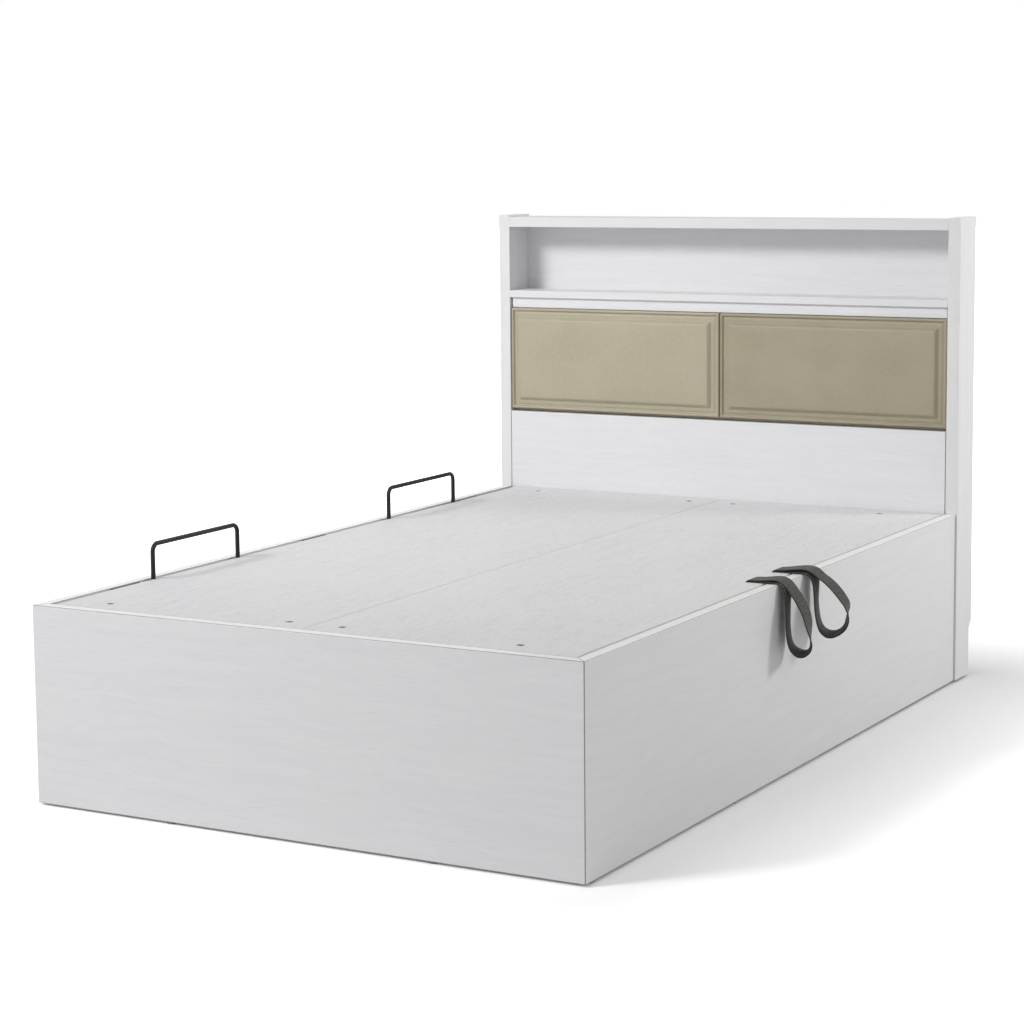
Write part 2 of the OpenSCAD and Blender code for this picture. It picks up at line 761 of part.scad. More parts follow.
// A post, notched at the back of its foot so that it stands close to the wall
module post(side) {
    x0 = side > 0 ? post_x_in : -post_x_out;
    color(c_panel) translate([x0, 0, 0]) rotate([90, 0, 90]) linear_extrude(post_t) polygon([
        [y_head, glide_h], [head_y1 - notch_d, glide_h], [head_y1 - notch_d, notch_h + glide_h],
        [head_y1, notch_h + glide_h], [head_y1, head_h], [y_head, head_h]
    ]);
}
module top_board() {
    color(c_panel) board([-post_x_in, y_head, niche_z1], [post_x_in, head_y1, top_z1]);
}
module niche_shelf() {
    color(c_panel) board([-post_x_in, y_head, shelf_z0], [post_x_in, back_y0, shelf_z1]);
}
module back_panel() {
    color(c_panel) board([-post_x_in, back_y0, notch_h + glide_h], [post_x_in, head_y1, niche_z1]);
}
module lower_panel() {
    color(c_panel) board([-post_x_in, y_head, glide_h], [post_x_in, y_head + lower_t, lower_z1]);
}

// The board that carries the padded panels, and the rail on its front that closes the space
// between them and the shelf
module backing_board() {
    color(c_panel) {
        board([-post_x_in, core_y1, lower_z1], [post_x_in, backing_y1, shelf_z0]);
        board([-post_x_in, y_head + rail_setback, pad_z1 + pad_panel_gap],
            [post_x_in, core_y1, shelf_z0]);
    }
}
// Upright that holds the shelf and the backing board to the back panel
module headboard_upright() {
    color(c_inside) board([-backing_t / 2, backing_y1, lower_z1],
        [backing_t / 2, back_y0, shelf_z0]);
}

module pad_core(side) {
    x0 = side > 0 ? pad_panel_gap : -pad_panel_gap - pad_w;
    color(c_wood) board([x0, core_y0, pad_z0], [x0 + pad_w, core_y1, pad_z1]);
}

// The padded leather: a raised lip, a flat border and a field with sloping sides
module pad_leather(side) {
    mid = side * (pad_panel_gap + pad_w / 2);
    corner_x = pad_w / 2 - field_inset - field_corner;
    corner_z = pad_panel_h / 2 - field_inset - field_corner;
    color(c_leather) translate([mid, leather_y0, (pad_z0 + pad_z1) / 2]) rotate([90, 0, 0]) {
        translate([-pad_w / 2, -pad_panel_h / 2, -leather_t]) cube([pad_w, pad_panel_h, leather_t]);
        linear_extrude(lip_h) difference() {
            square([pad_w, pad_panel_h], center = true);
            square([pad_w - 2 * lip_w, pad_panel_h - 2 * lip_w], center = true);
        }
        hull() for (x = [-corner_x, corner_x], z = [-corner_z, corner_z])
            translate([x, z, -eps])
                cylinder(r1 = field_corner, r2 = field_corner - field_slope, h = field_h, $fn = 32);
    }
}

foot_panel();
side_panel(-1);  // side_panel_left
side_panel(1);  // side_panel_right
store_divider();
bottom_board(y_foot_in, -divider_t / 2);  // bottom_board_foot
bottom_board(divider_t / 2, y_head);  // bottom_board_head
bottom_cleats();
floor_glides();
ledge_side();
ledge_end(y_foot_in);  // ledge_foot
ledge_end(y_head - ledge_s);  // ledge_head
ledge_pads();
corner_brackets();
strut_base_brackets();
lift_hinge_fixed_leaves();
lift_hinge_pins();
post(-1);  // post_left
post(1);  // post_right
top_board();
niche_shelf();
back_panel();
lower_panel();
backing_board();
headboard_upright();
pad_core(-1);  // pad_core_left
pad_core(1);  // pad_core_right
pad_leather(-1);  // pad_leather_left
pad_leather(1);  // pad_leather_right
platform_board_left();
platform_board_right();
frame_tube_left();
frame_tube_right();
frame_end_tubes();
frame_cross_tubes();
lift_hinge_moving_leaves();
strut_platform_brackets();
platform_bolts();
mattress_bar(bar_y[0]);  // mattress_bar_foot
mattress_bar(bar_y[1]);  // mattress_bar_head
bar_screws();
strap_clamps();
strap_tail(strap_y[0]);  // strap_tail_foot
strap_tail(strap_y[1]);  // strap_tail_head
strap_loop(strap_y[0], loop_drop_foot, loop_bulge_foot, loop_stand_off_foot, loop_slope_foot);  // strap_loop_foot
strap_loop(strap_y[1], loop_drop_head, loop_bulge_head, loop_stand_off_head, loop_slope_head);  // strap_loop_head
strut_cylinder(0);  // strut_cylinder_foot
strut_cylinder(1);  // strut_cylinder_head
strut_rod(0);  // strut_rod_foot
strut_rod(1);  // strut_rod_head
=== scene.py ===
# %% [markdown]
# # Tatami platform bed
# This lesson dresses a low white box bed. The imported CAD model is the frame: it fixes every size
# and place, and it already moves. Each cell adds one piece or one finish to it. Lengths are in
# metres, X runs across the bed, Y from the foot to the head and Z up.

# %% Load the frame
import math

import bmesh
import bpy
from mathutils import Matrix, Vector


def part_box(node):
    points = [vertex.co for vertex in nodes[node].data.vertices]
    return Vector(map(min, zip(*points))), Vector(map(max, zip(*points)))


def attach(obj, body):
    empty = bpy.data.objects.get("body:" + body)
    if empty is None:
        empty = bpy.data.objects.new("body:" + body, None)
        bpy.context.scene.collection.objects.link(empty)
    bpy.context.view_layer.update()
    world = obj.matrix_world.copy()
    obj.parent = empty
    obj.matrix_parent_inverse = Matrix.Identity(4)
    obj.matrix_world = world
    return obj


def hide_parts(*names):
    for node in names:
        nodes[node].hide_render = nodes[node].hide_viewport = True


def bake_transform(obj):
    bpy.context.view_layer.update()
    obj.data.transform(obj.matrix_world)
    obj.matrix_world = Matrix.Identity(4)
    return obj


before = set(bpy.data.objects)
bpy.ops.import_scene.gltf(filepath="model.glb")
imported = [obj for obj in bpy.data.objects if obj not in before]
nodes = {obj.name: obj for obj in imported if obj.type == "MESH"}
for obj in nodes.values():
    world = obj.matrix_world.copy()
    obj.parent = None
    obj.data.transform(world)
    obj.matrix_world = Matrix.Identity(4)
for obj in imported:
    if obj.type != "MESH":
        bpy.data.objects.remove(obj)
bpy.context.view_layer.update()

# %% [markdown]
# The corners of the box in the photograph tell where the camera stood. Its place, its turns and
# its focal length were solved from them. A lens shift slides the picture without turning the
# camera. It is kept small, so that the bed stays in the middle when other sides are looked at.

# %% Set up the camera
CAMERA_AT = (2.6783, -4.9508, 1.3373)
CAMERA_TURN, CAMERA_DOWN, CAMERA_ROLL = -0.528896, 0.126331, -0.012402  # radians
FOCAL_MM, LENS_SHIFT = 91.096, (0.0605, -0.05)
lens = bpy.data.cameras.new("photo_lens")
lens.sensor_width = 36
lens.lens = FOCAL_MM
lens.shift_x, lens.shift_y = LENS_SHIFT
camera = bpy.data.objects.new("photo_camera", lens)
bpy.context.scene.collection.objects.link(camera)
ahead = Vector((math.sin(CAMERA_TURN) * math.cos(CAMERA_DOWN),
                math.cos(CAMERA_TURN) * math.cos(CAMERA_DOWN), -math.sin(CAMERA_DOWN)))
right = ahead.cross(Vector((0, 0, 1))).normalized()
above = right.cross(ahead)
across = right * math.cos(CAMERA_ROLL) + above * math.sin(CAMERA_ROLL)
upward = above * math.cos(CAMERA_ROLL) - right * math.sin(CAMERA_ROLL)
camera.matrix_world = Matrix((
    (across[0], upward[0], -ahead[0], CAMERA_AT[0]),
    (across[1], upward[1], -ahead[1], CAMERA_AT[1]),
    (across[2], upward[2], -ahead[2], CAMERA_AT[2]),
    (0, 0, 0, 1)))
bpy.context.scene.camera = camera
print("camera at", tuple(round(v, 2) for v in camera.matrix_world.translation))

# %% [markdown]
# Colours are read off a screen as sRGB hex values, but a shader adds up light, which is linear.
# One function turns the first into the second. Another adds a node to a tree with its settings,
# its values and its links, and the rest are its uses, so that each material reads as a recipe.

# %% Helpers for materials
def linear(code):
    """A hex colour such as #E0E0E2 as linear red, green, blue and alpha."""
    parts = [int(code[i:i + 2], 16) / 255 for i in (1, 3, 5)]
    return tuple(c / 12.92 if c <= 0.04045 else ((c + 0.055) / 1.055) ** 2.4 for c in parts) + (1,)


def add(tree, kind, inputs=None, **settings):
    """Adds a node. Each input is a number, a colour or another node's output."""
    node = tree.nodes.new(kind)
    for name, value in settings.items():
        setattr(node, name, value)
    for name, value in (inputs or {}).items():
        if isinstance(value, bpy.types.NodeSocket):
            tree.links.new(value, node.inputs[name])
        else:
            node.inputs[name].default_value = value
    return node


def finish(name, **values):
    """A new material with a shader whose own sockets hold what is the same all over."""
    material = bpy.data.materials.new(name)
    material.use_nodes = True
    tree = material.node_tree
    tree.nodes.clear()
    shader = add(tree, "ShaderNodeBsdfPrincipled", values)
    add(tree, "ShaderNodeOutputMaterial", {"Surface": shader.outputs[0]})
    return material, tree, shader


def stretched(tree, size, source="Object", waver=None):
    """Coordinates in which one unit is size metres along X, Y and Z."""
    place = add(tree, "ShaderNodeTexCoord").outputs[source]
    if waver is not None:
        place = add(tree, "ShaderNodeVectorMath", {0: place, 1: waver}).outputs[0]
    return add(tree, "ShaderNodeMapping", {0: place, "Scale": [1 / s for s in size]}).outputs[0]


def noise(tree, size, detail=3, roughness=0.5, source="Object", waver=None):
    """Noise whose features are about size metres."""
    return add(tree, "ShaderNodeTexNoise", {
        "Vector": stretched(tree, size, source, waver), "Scale": 1, "Detail": detail,
        "Roughness": roughness}).outputs[0]


def wander(tree, size, reach):
    """An offset of about reach metres that drifts over size metres."""
    field = add(tree, "ShaderNodeTexNoise", {"Vector": stretched(tree, (size,) * 3), "Scale": 1,
                                             "Detail": 1}).outputs["Color"]
    field = add(tree, "ShaderNodeVectorMath", {0: field, 1: (0.5, 0.5, 0.5)},
                operation="SUBTRACT").outputs[0]
    return add(tree, "ShaderNodeVectorMath", {0: field, "Scale": 2 * reach},
               operation="SCALE").outputs[0]


def spread(tree, value, low, high, start=0.3, end=0.7):
    """Carries value from start..end to low..high."""
    return add(tree, "ShaderNodeMapRange", {
        "Value": value, "From Min": start, "From Max": end, "To Min": low, "To Max": high,
    }).outputs[0]


def between(tree, factor, first, second):
    """A colour between two colours."""
    return add(tree, "ShaderNodeMix", {"Factor": factor, 6: first, 7: second},
               data_type="RGBA").outputs[2]


def relief(tree, height, depth, below=None, strength=1.0):
    """A bump whose full height is depth metres, on top of another bump."""
    inputs = {"Height": height, "Distance": depth, "Strength": strength}
    if below is not None:
        inputs["Normal"] = below
    return add(tree, "ShaderNodeBump", inputs).outputs[0]


def dress(tree, shader, colour, roughness, normal):
    """Links the three outputs that make a patterned finish to its shader."""
    for socket, value in {"Base Color": colour, "Roughness": roughness, "Normal": normal}.items():
        tree.links.new(value, shader.inputs[socket])


def skinned(name, dark, light, clouds, skin, gloss, depth, strength, **values):
    """A finish whose colour drifts over clouds metres, under a skin whose ripples are skin metres
    across. The gloss and a relief of depth metres follow the ripples."""
    material, tree, shader = finish(name, **{"IOR": 1.5, **values})
    ripples = noise(tree, (skin,) * 3, detail=2)
    drift = noise(tree, (clouds,) * 3, detail=2)
    dress(tree, shader, between(tree, spread(tree, drift, 0, 1), linear(dark), linear(light)),
          spread(tree, ripples, *gloss), relief(tree, ripples, depth, strength=strength))
    return material


print("white as light:", [round(c, 3) for c in linear("#FFFFFF")[:3]])

# %% [markdown]
# The panels are particle board faced with white melamine paper, pressed against a steel plate
# with a wood pattern. The eye sees a pale board with shallow pores that waver along the grain.
# Real pores are 0.2 mm wide, too fine to show here, so they are drawn 2.4 mm wide and 60 mm long,
# and painted darker than the paper: painted shade in the pores. Each board's grain follows its
# long side, so the finish is made once for each axis. The platform's copy has a deeper relief, and
# its
# paper and pores are painted darker: painted shade for the streaks that show in the light that
# skims it.

# %% White wood-grain melamine
def wood_melamine(axis, name="melamine_wood_grain", paper=("#DFDFE2", "#E3E3E5"),
                  painted_pore_shade="#D8D8DB", depth=0.0001):
    material, tree, shader = finish(f"{name}_{'xyz'[axis]}", **{
        "IOR": 1.5, "Specular IOR Level": 0.3})
    pore_size = [0.0024] * 3
    pore_size[axis] = 0.060
    band_size = [0.015] * 3
    band_size[axis] = 0.300
    drift = wander(tree, 0.22, 0.022)
    pores = noise(tree, pore_size, detail=4, roughness=0.62, waver=drift)
    bands = noise(tree, band_size, detail=3, waver=drift)
    clouds = noise(tree, (0.25, 0.25, 0.25), detail=2)
    tone = between(tree, spread(tree, bands, 0, 1, 0.35, 0.65), linear(paper[0]),
                   linear(paper[1]))
    # Darker in the pores: painted shade.
    tone = between(tree, spread(tree, pores, 0, 0.7, 0.52, 0.7), tone, linear(painted_pore_shade))
    tone = between(tree, spread(tree, clouds, 0, 0.35), tone, linear("#E1E0E0"))
    pressed = spread(tree, pores, 0, 1, 0.7, 0.45)
    dress(tree, shader, tone, spread(tree, pores, 0.5, 0.64),
          relief(tree, pressed, depth, strength=0.7))
    return material


# The pores are painted shade: the side panels take less of it, and the platform's copy more.
MELAMINE = [wood_melamine(0), wood_melamine(1, painted_pore_shade="#DDDDDE"), wood_melamine(2)]
DEEP_MELAMINE_PAINTED_SHADE = wood_melamine(1, "melamine_deep_grain_painted_shade", ("#DADADD", "#DEDEE0"), "#BCBCBF", 0.0004)
print("melamine along", [m.name[-1] for m in MELAMINE], DEEP_MELAMINE_PAINTED_SHADE.name)

# %% [markdown]
# The cut edge of each board is closed with a strip of ABS, glued on and scraped flush. It is
# smoother than the face and has no grain, only faint scrape marks 3 mm apart. The strip on the
# rims of the base is painted whiter than on the other boards: a painted highlight where the light
# catches the rims. Their eased edges are painted grey, as painted shade along them, and so are the
# mitred corners, as the dark line of the joint.

# %% White ABS edge band
def edge_band(name, dark, light):
    return skinned(name, dark, light, clouds=0.12, skin=0.003, gloss=(0.28, 0.4), depth=0.00004,
                   strength=0.4)


EDGE_BAND = edge_band("abs_edge_band", "#DBDBDC", "#DFDFE0")
# The rims' strip is painted whiter: a painted highlight.
PAINTED_HIGHLIGHT_RIM_BAND = edge_band("abs_rim_band_painted_highlight", "#EDEDEB", "#F0F0EE")
# Grey on the rims' eased edges and mitred corners: painted shade along the edges, and the dark
# line of the mitre joint.
PAINTED_SHADE_EDGE_LINE = edge_band("painted_shade_edge_line", "#979795", "#9F9F9D")
print(EDGE_BAND.name, PAINTED_HIGHLIGHT_RIM_BAND.name)

# %% [markdown]
# The inside boards of such a bed are plain melamine without the wood pattern: flat, a little
# greyer, with a fine even texture of about 1.5 mm.

# %% Plain inside melamine
PLAIN_MELAMINE = skinned("melamine_plain", "#D4D4D5", "#DBDBDC", clouds=0.3, skin=0.0015,
                         gloss=(0.42, 0.55), depth=0.00005, strength=0.4)
print(PLAIN_MELAMINE.name)

# %% [markdown]
# Ledges and cleats are sawn pine battens, left bare inside the store. Pine has wide early rings
# and narrow dark late ones, a few millimetres apart, drawn out along the batten.

# %% Sawn pine
def sawn_pine(axis):
    material, tree, shader = finish(f"sawn_pine_{'xyz'[axis]}", **{"IOR": 1.5})
    ring_size = [0.012] * 3
    ring_size[axis] = 0.45
    fibre_size = [0.0009] * 3
    fibre_size[axis] = 0.03
    bend = noise(tree, ring_size, detail=2)
    rings = add(tree, "ShaderNodeMath", {0: bend, 1: 26.0}, operation="MULTIPLY").outputs[0]
    rings = add(tree, "ShaderNodeMath", {0: rings}, operation="SINE").outputs[0]
    fibres = noise(tree, fibre_size, detail=3)
    tone = between(tree, spread(tree, rings, 0, 1, -1, 1), linear("#D9C49C"), linear("#BD9A68"))
    tone = between(tree, spread(tree, fibres, 0, 0.5), tone, linear("#E2D0AC"))
    dress(tree, shader, tone, spread(tree, fibres, 0.55, 0.75),
          relief(tree, fibres, 0.0002, strength=0.6))
    return material


PINE = [sawn_pine(axis) for axis in range(3)]
print("pine along", [m.name[-1] for m in PINE])

# %% [markdown]
# The mattress bars, the frame and the strut bodies are mild steel, powder coated dark grey. The
# powder melts into a skin with a soft orange-peel ripple about 1.2 mm across.

# %% Powder-coated steel
def powder_coat(name, dark, light, gloss=(0.38, 0.5)):
    return skinned(name, dark, light, clouds=0.05, skin=0.0012, gloss=gloss, depth=0.00006,
                   strength=0.6, **{"Specular IOR Level": 0.25})


POWDER_STEEL = powder_coat("powder_coated_steel", "#1B1A1A", "#242322")
PAINTED_STEEL = powder_coat("gloss_painted_steel", "#1F1F20", "#262627", gloss=(0.2, 0.3))
print(POWDER_STEEL.name, PAINTED_STEEL.name)

# %% [markdown]
# Bolts, hinges and angles are pressed steel with a thin zinc plating. Zinc is a soft bright metal:
# its gloss varies in patches of a few millimetres where the plating dried. The bolts and hinges
# that show have black zinc, which is the same plating with a dark seal.

# %% Zinc-plated steel
def zinc_plate(name, dark, light):
    material, tree, shader = finish(name, **{"Metallic": 1.0})
    patches = noise(tree, (0.004, 0.004, 0.004), detail=3)
    rolled = noise(tree, (0.0006, 0.012, 0.0006), detail=2)
    dress(tree, shader, between(tree, spread(tree, patches, 0, 1), linear(dark), linear(light)),
          spread(tree, patches, 0.28, 0.42), relief(tree, rolled, 0.00002, strength=0.5))
    return material


ZINC = zinc_plate("zinc_plated_steel", "#B4B7BB", "#C6C8CA")
BLACK_ZINC = zinc_plate("black_zinc_plated_steel", "#4C4C4E", "#5C5C5E")
print(ZINC.name, BLACK_ZINC.name)

# %% [markdown]
# The pads on the ledges are moulded rubber: nearly black, dull, and dusted grey where it is
# handled. The glides are the same moulding in grey polyethylene.

# %% Moulded rubber and polyethylene
def moulded(name, dark, light):
    material, tree, shader = finish(name, **{"IOR": 1.5})
    dust = noise(tree, (0.006, 0.006, 0.006), detail=4)
    grain = noise(tree, (0.0007, 0.0007, 0.0007), detail=1)
    dress(tree, shader, between(tree, spread(tree, dust, 0, 1), linear(dark), linear(light)),
          spread(tree, dust, 0.7, 0.9), relief(tree, grain, 0.00005, strength=0.5))
    return material


RUBBER = moulded("moulded_rubber", "#262626", "#323130")
POLYETHYLENE = moulded("moulded_polyethylene", "#8A8A8B", "#959596")
print(RUBBER.name, POLYETHYLENE.name)

# %% [markdown]
# A CAD model has knife edges. Real boards have edges eased by the band that closes them, and that
# thin bright line is what makes them look solid. The frame's own meshes stay as they are: each
# board is copied, its triangles are merged into flat faces, and every edge gets a small round.
# Faces across the board's thickness take the edge band.

# %% Helper: ease the edges of a board
BOARD_EASE = 0.0008
SHARP_EDGE = math.radians(30)  # a flatter edge isn't eased
BAND_SLANT = 0.5  # most part of a normal along the thickness on a banded face
MITRE_SLANT = 0.3  # least part of a normal along X and along Y on a mitred corner


def merged(node):
    """A copy of a CAD node's mesh with its triangles merged into flat faces."""
    mesh = bmesh.new()
    mesh.from_mesh(nodes[node].data)
    bmesh.ops.remove_doubles(mesh, verts=mesh.verts, dist=1e-6)
    bmesh.ops.dissolve_limit(mesh, angle_limit=math.radians(1), verts=mesh.verts,
                             edges=mesh.edges)
    return mesh


def as_piece(mesh, name, materials, smooth_angle=None):
    """Makes a bmesh an object at the origin."""
    data = bpy.data.meshes.new(name)
    mesh.to_mesh(data)
    mesh.free()
    for material in materials:
        data.materials.append(material)
    piece = bpy.data.objects.new(name, data)
    bpy.context.scene.collection.objects.link(piece)
    if smooth_angle is not None:
        data.shade_smooth()
        data.set_sharp_from_angle(angle=smooth_angle)
    return piece


def eased_board(node, body, face, band=None, thin=None, ease=BOARD_EASE, mesh=None,
                line=None):
    """Replaces a board by a copy with eased edges. thin is its thickness axis, and line is the
    finish of the rounds and of a mitred corner."""
    mesh = mesh or merged(node)
    sharp = [e for e in mesh.edges if len(e.link_faces) == 2
             and e.calc_face_angle() > SHARP_EDGE]
    eased = bmesh.ops.bevel(mesh, geom=sharp, offset=ease, offset_type="OFFSET", segments=2,
                            profile=0.5, affect="EDGES", clamp_overlap=True)["faces"]
    for f in mesh.faces:
        f.smooth = False
        if thin is not None and abs(f.normal[thin]) < BAND_SLANT:
            f.material_index = 1
    for f in eased:
        f.smooth = True
    if line:
        mitred = [f for f in mesh.faces if min(abs(f.normal.x), abs(f.normal.y)) > MITRE_SLANT]
        for f in set(eased) | set(mitred):
            f.material_index = 2
    piece = as_piece(mesh, node + "_board", [m for m in (face, band, line) if m])
    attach(piece, body)
    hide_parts(node)


print("boards are eased by", BOARD_EASE * 1000, "mm")

# %% [markdown]
# The cut above a post's notch slopes, the rail and the lower panel taper a little at their ends,
# and the mitred corners are eased more, so that each of these joints shows as a line.

# %% Ease the white boards
NOTCH_SLOPE, NOTCH_BELOW = 0.018, 0.2
RAIL_TAPER, LOWER_TAPER = 0.004, 0.002
MITRE_EASE = 0.0016
NEAR = 1e-4
BOARDS = {
    # node: body, grain axis, thickness axis
    "foot_panel": ("base", 0, 1),
    "side_panel_left": ("base", 1, 0),
    "side_panel_right": ("base", 1, 0),
    "post_left": ("base", 2, 0),
    "post_right": ("base", 2, 0),
    "top_board": ("base", 0, 2),
    "niche_shelf": ("base", 0, 2),
    "back_panel": ("base", 0, 1),
    "lower_panel": ("base", 0, 1),
    "backing_board": ("base", 0, 1),
    "platform_board_left": ("platform", 1, 2),
    "platform_board_right": ("platform", 1, 2),
}
corner_low, corner_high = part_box("foot_panel")
for node, (body, grain, thin) in BOARDS.items():
    face = DEEP_MELAMINE_PAINTED_SHADE if body == "platform" else MELAMINE[grain]
    band = PAINTED_HIGHLIGHT_RIM_BAND if "side_panel" in node or node == "foot_panel" else EDGE_BAND
    mesh = merged(node)
    low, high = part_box(node)
    for v in mesh.verts:
        inward = math.copysign(1, -v.co.x)
        if "post" in node and v.co.y > high.y - NEAR and v.co.z < NOTCH_BELOW:
            v.co.z += NOTCH_SLOPE
        if node == "backing_board" and v.co.y < low.y + NEAR:
            v.co.x += inward * RAIL_TAPER
        if node == "lower_panel" and v.co.y < low.y + NEAR:
            v.co.x += inward * LOWER_TAPER
    if band is PAINTED_HIGHLIGHT_RIM_BAND:
        corner = [e for e in mesh.edges
                  if all(v.co.y < corner_low.y + NEAR and abs(v.co.x) > corner_high.x - NEAR
                         for v in e.verts)]
        bmesh.ops.bevel(mesh, geom=corner, offset=MITRE_EASE, offset_type="OFFSET", segments=2,
                        profile=0.5, affect="EDGES")
    eased_board(node, body, face, band, thin, mesh=mesh,
                line=PAINTED_SHADE_EDGE_LINE if band is PAINTED_HIGHLIGHT_RIM_BAND else None)
print(len(BOARDS), "white boards eased")

# %% [markdown]
# The boards inside the store are plain melamine. The ledges and the cores under the leather are
# bare pine: no band closes their edges, and the saw leaves them a little rounder.

# %% Ease the boards and battens inside
PINE_EASE = 0.001
for node, thin in {"store_divider": 1, "bottom_board_foot": 2, "bottom_board_head": 2,
                   "headboard_upright": 0}.items():
    eased_board(node, "base", PLAIN_MELAMINE, EDGE_BAND, thin)
for node, grain in {"ledge_side": 1, "ledge_foot": 0, "ledge_head": 0, "pad_core_left": 0,
                    "pad_core_right": 0}.items():
    eased_board(node, "base", PINE[grain], ease=PINE_EASE)
print("inside boards and battens eased")

# %% [markdown]
# Parts that already have their true shape keep it and only take a finish: the tubes, the hinges,
# the brackets, the gas struts, the cleats, the glides and the pads.

# %% Finish the parts that keep their CAD shape
def paint(material, *names):
    for name in names:
        nodes[name].data.materials.clear()
        nodes[name].data.materials.append(material)


paint(POWDER_STEEL, "frame_tube_left", "frame_tube_right", "frame_end_tubes",
      "frame_cross_tubes", "strut_base_brackets", "strut_platform_brackets")
paint(PAINTED_STEEL, "strut_cylinder_foot", "strut_cylinder_head")
paint(ZINC, "corner_brackets", "strap_clamps", "strut_rod_foot", "strut_rod_head")
paint(BLACK_ZINC, "lift_hinge_fixed_leaves", "lift_hinge_moving_leaves", "lift_hinge_pins")
paint(RUBBER, "ledge_pads")
paint(POLYETHYLENE, "floor_glides")
paint(PINE[1], "bottom_cleats")
print("CAD shapes finished")

# %% [markdown]
# Leather over foam on a board is shaped by its press: a raised lip, a narrow groove, a flat
# border and a slope up to the field. One list of distances from the edge and heights describes
# that section. A grid whose lines lie at those distances on all four sides then gives true mitred
# corners, which a rounded outline would lose.

# %% Padded leather panels: the shape
PRESSED_SECTION = [  # millimetres from the edge, millimetres above the border
    (0.0, -1.0), (0.3, 0.5), (1.1, 2.2), (2.4, 3.2), (4.0, 3.6), (5.6, 3.2), (6.9, 2.1),
    (7.9, 0.5), (8.8, -0.9), (10.0, -1.6), (11.2, -1.3), (12.3, -0.5), (13.6, 0.0),
    (16.0, 0.2), (20.8, 0.1), (22.0, 0.2), (23.0, 0.8), (24.0, 1.7), (28.6, 6.2),
    (29.8, 7.1), (31.4, 7.55), (34.0, 7.6)]
LEATHER_DEPTH = 0.0025  # from the border to the leather's back
CROWN = 0.0006
FIELD_STEP = 0.012  # between two lines of the field


def grid_lines(length):
    """Distances along a side: the section's lines at both ends, and an even spacing between."""
    ends = [d / 1000 for d, _ in PRESSED_SECTION]
    inner = length - 2 * ends[-1]
    count = max(2, round(inner / FIELD_STEP))
    middle = [ends[-1] + inner * i / count for i in range(1, count)]
    return ends + middle + [length - d for d in reversed(ends)]


def pressed_height(distance, crown):
    """Height above the border at a distance from the nearest edge."""
    for (d0, h0), (d1, h1) in zip(PRESSED_SECTION, PRESSED_SECTION[1:]):
        if distance <= d1 / 1000:
            return (h0 + (h1 - h0) * (distance * 1000 - d0) / (d1 - d0)) / 1000
    return PRESSED_SECTION[-1][1] / 1000 + crown


def leather_front(low, high, border_y):
    """The leather of one panel, closed at its back and sides."""
    xs = [low.x + d for d in grid_lines(high.x - low.x)]
    zs = [low.z + d for d in grid_lines(high.z - low.z)]
    mesh = bmesh.new()
    uv = mesh.loops.layers.uv.new("UVMap")
    rows = []
    for z in zs:
        row = []
        for x in xs:
            distance = min(x - low.x, high.x - x, z - low.z, high.z - z)
            across_x = (x - low.x) * (high.x - x) * 4 / (high.x - low.x) ** 2
            across_z = (z - low.z) * (high.z - z) * 4 / (high.z - low.z) ** 2
            crown = CROWN * (across_x * across_z) ** 0.5
            row.append(mesh.verts.new((x, border_y - pressed_height(distance, crown), z)))
        rows.append(row)
    for r0, r1 in zip(rows, rows[1:]):
        for i in range(len(xs) - 1):
            mesh.faces.new((r0[i], r0[i + 1], r1[i + 1], r1[i]))
    rim = rows[0] + [r[-1] for r in rows[1:]] + rows[-1][-2::-1] + [r[0] for r in rows[-2:0:-1]]
    back = [mesh.verts.new((v.co.x, border_y + LEATHER_DEPTH, v.co.z)) for v in rim]
    for i in range(len(rim)):
        j = (i + 1) % len(rim)
        mesh.faces.new((rim[i], back[i], back[j], rim[j]))
    mesh.faces.new(back)
    for f in mesh.faces:
        for loop in f.loops:
            loop[uv].uv = (loop.vert.co.x, loop.vert.co.z)
    bmesh.ops.recalc_face_normals(mesh, faces=mesh.faces)
    return mesh


print("a panel's section has", len(PRESSED_SECTION), "lines")

# %% [markdown]
# The cover is polyurethane leather: a knitted back with a skin cast on grained paper. Its grain is
# small rounded cells about 1.6 mm across with fine creases between them, and the creases are
# painted
# darker: painted shade. It has a satin sheen, and the colour drifts a little from place to place.
# The right cover is painted a shade deeper than the left: painted shade, as the light falls off
# towards the right.

# %% Padded leather panels: the finish
def grained_leather(side, light, dark, worn):
    material, tree, shader = finish("pu_leather_grained_" + side, **{
        "IOR": 1.48, "Coat Weight": 0.08, "Coat Roughness": 0.4})
    cells = add(tree, "ShaderNodeTexVoronoi", {
        "Vector": stretched(tree, (0.0016, 0.0016, 0.0016)), "Scale": 1, "Randomness": 0.9},
        feature="DISTANCE_TO_EDGE").outputs["Distance"]
    creases = spread(tree, cells, 0, 1, 0.0, 0.16)
    mottle = noise(tree, (0.010, 0.010, 0.010), detail=5, roughness=0.6)
    drift = noise(tree, (0.16, 0.16, 0.10), detail=2)
    tone = between(tree, spread(tree, drift, 0, 1), linear(light), linear(dark))
    tone = between(tree, spread(tree, mottle, 0, 0.45, 0.4, 0.7), tone, linear(worn))
    # Darker in the creases: painted shade.
    tone = between(tree, spread(tree, creases, 0.5, 0), tone, linear("#8F876F"))
    soft = relief(tree, mottle, 0.0004, strength=0.35)
    dress(tree, shader, tone, spread(tree, mottle, 0.42, 0.56),
          relief(tree, creases, 0.00015, soft, 0.6))
    return material


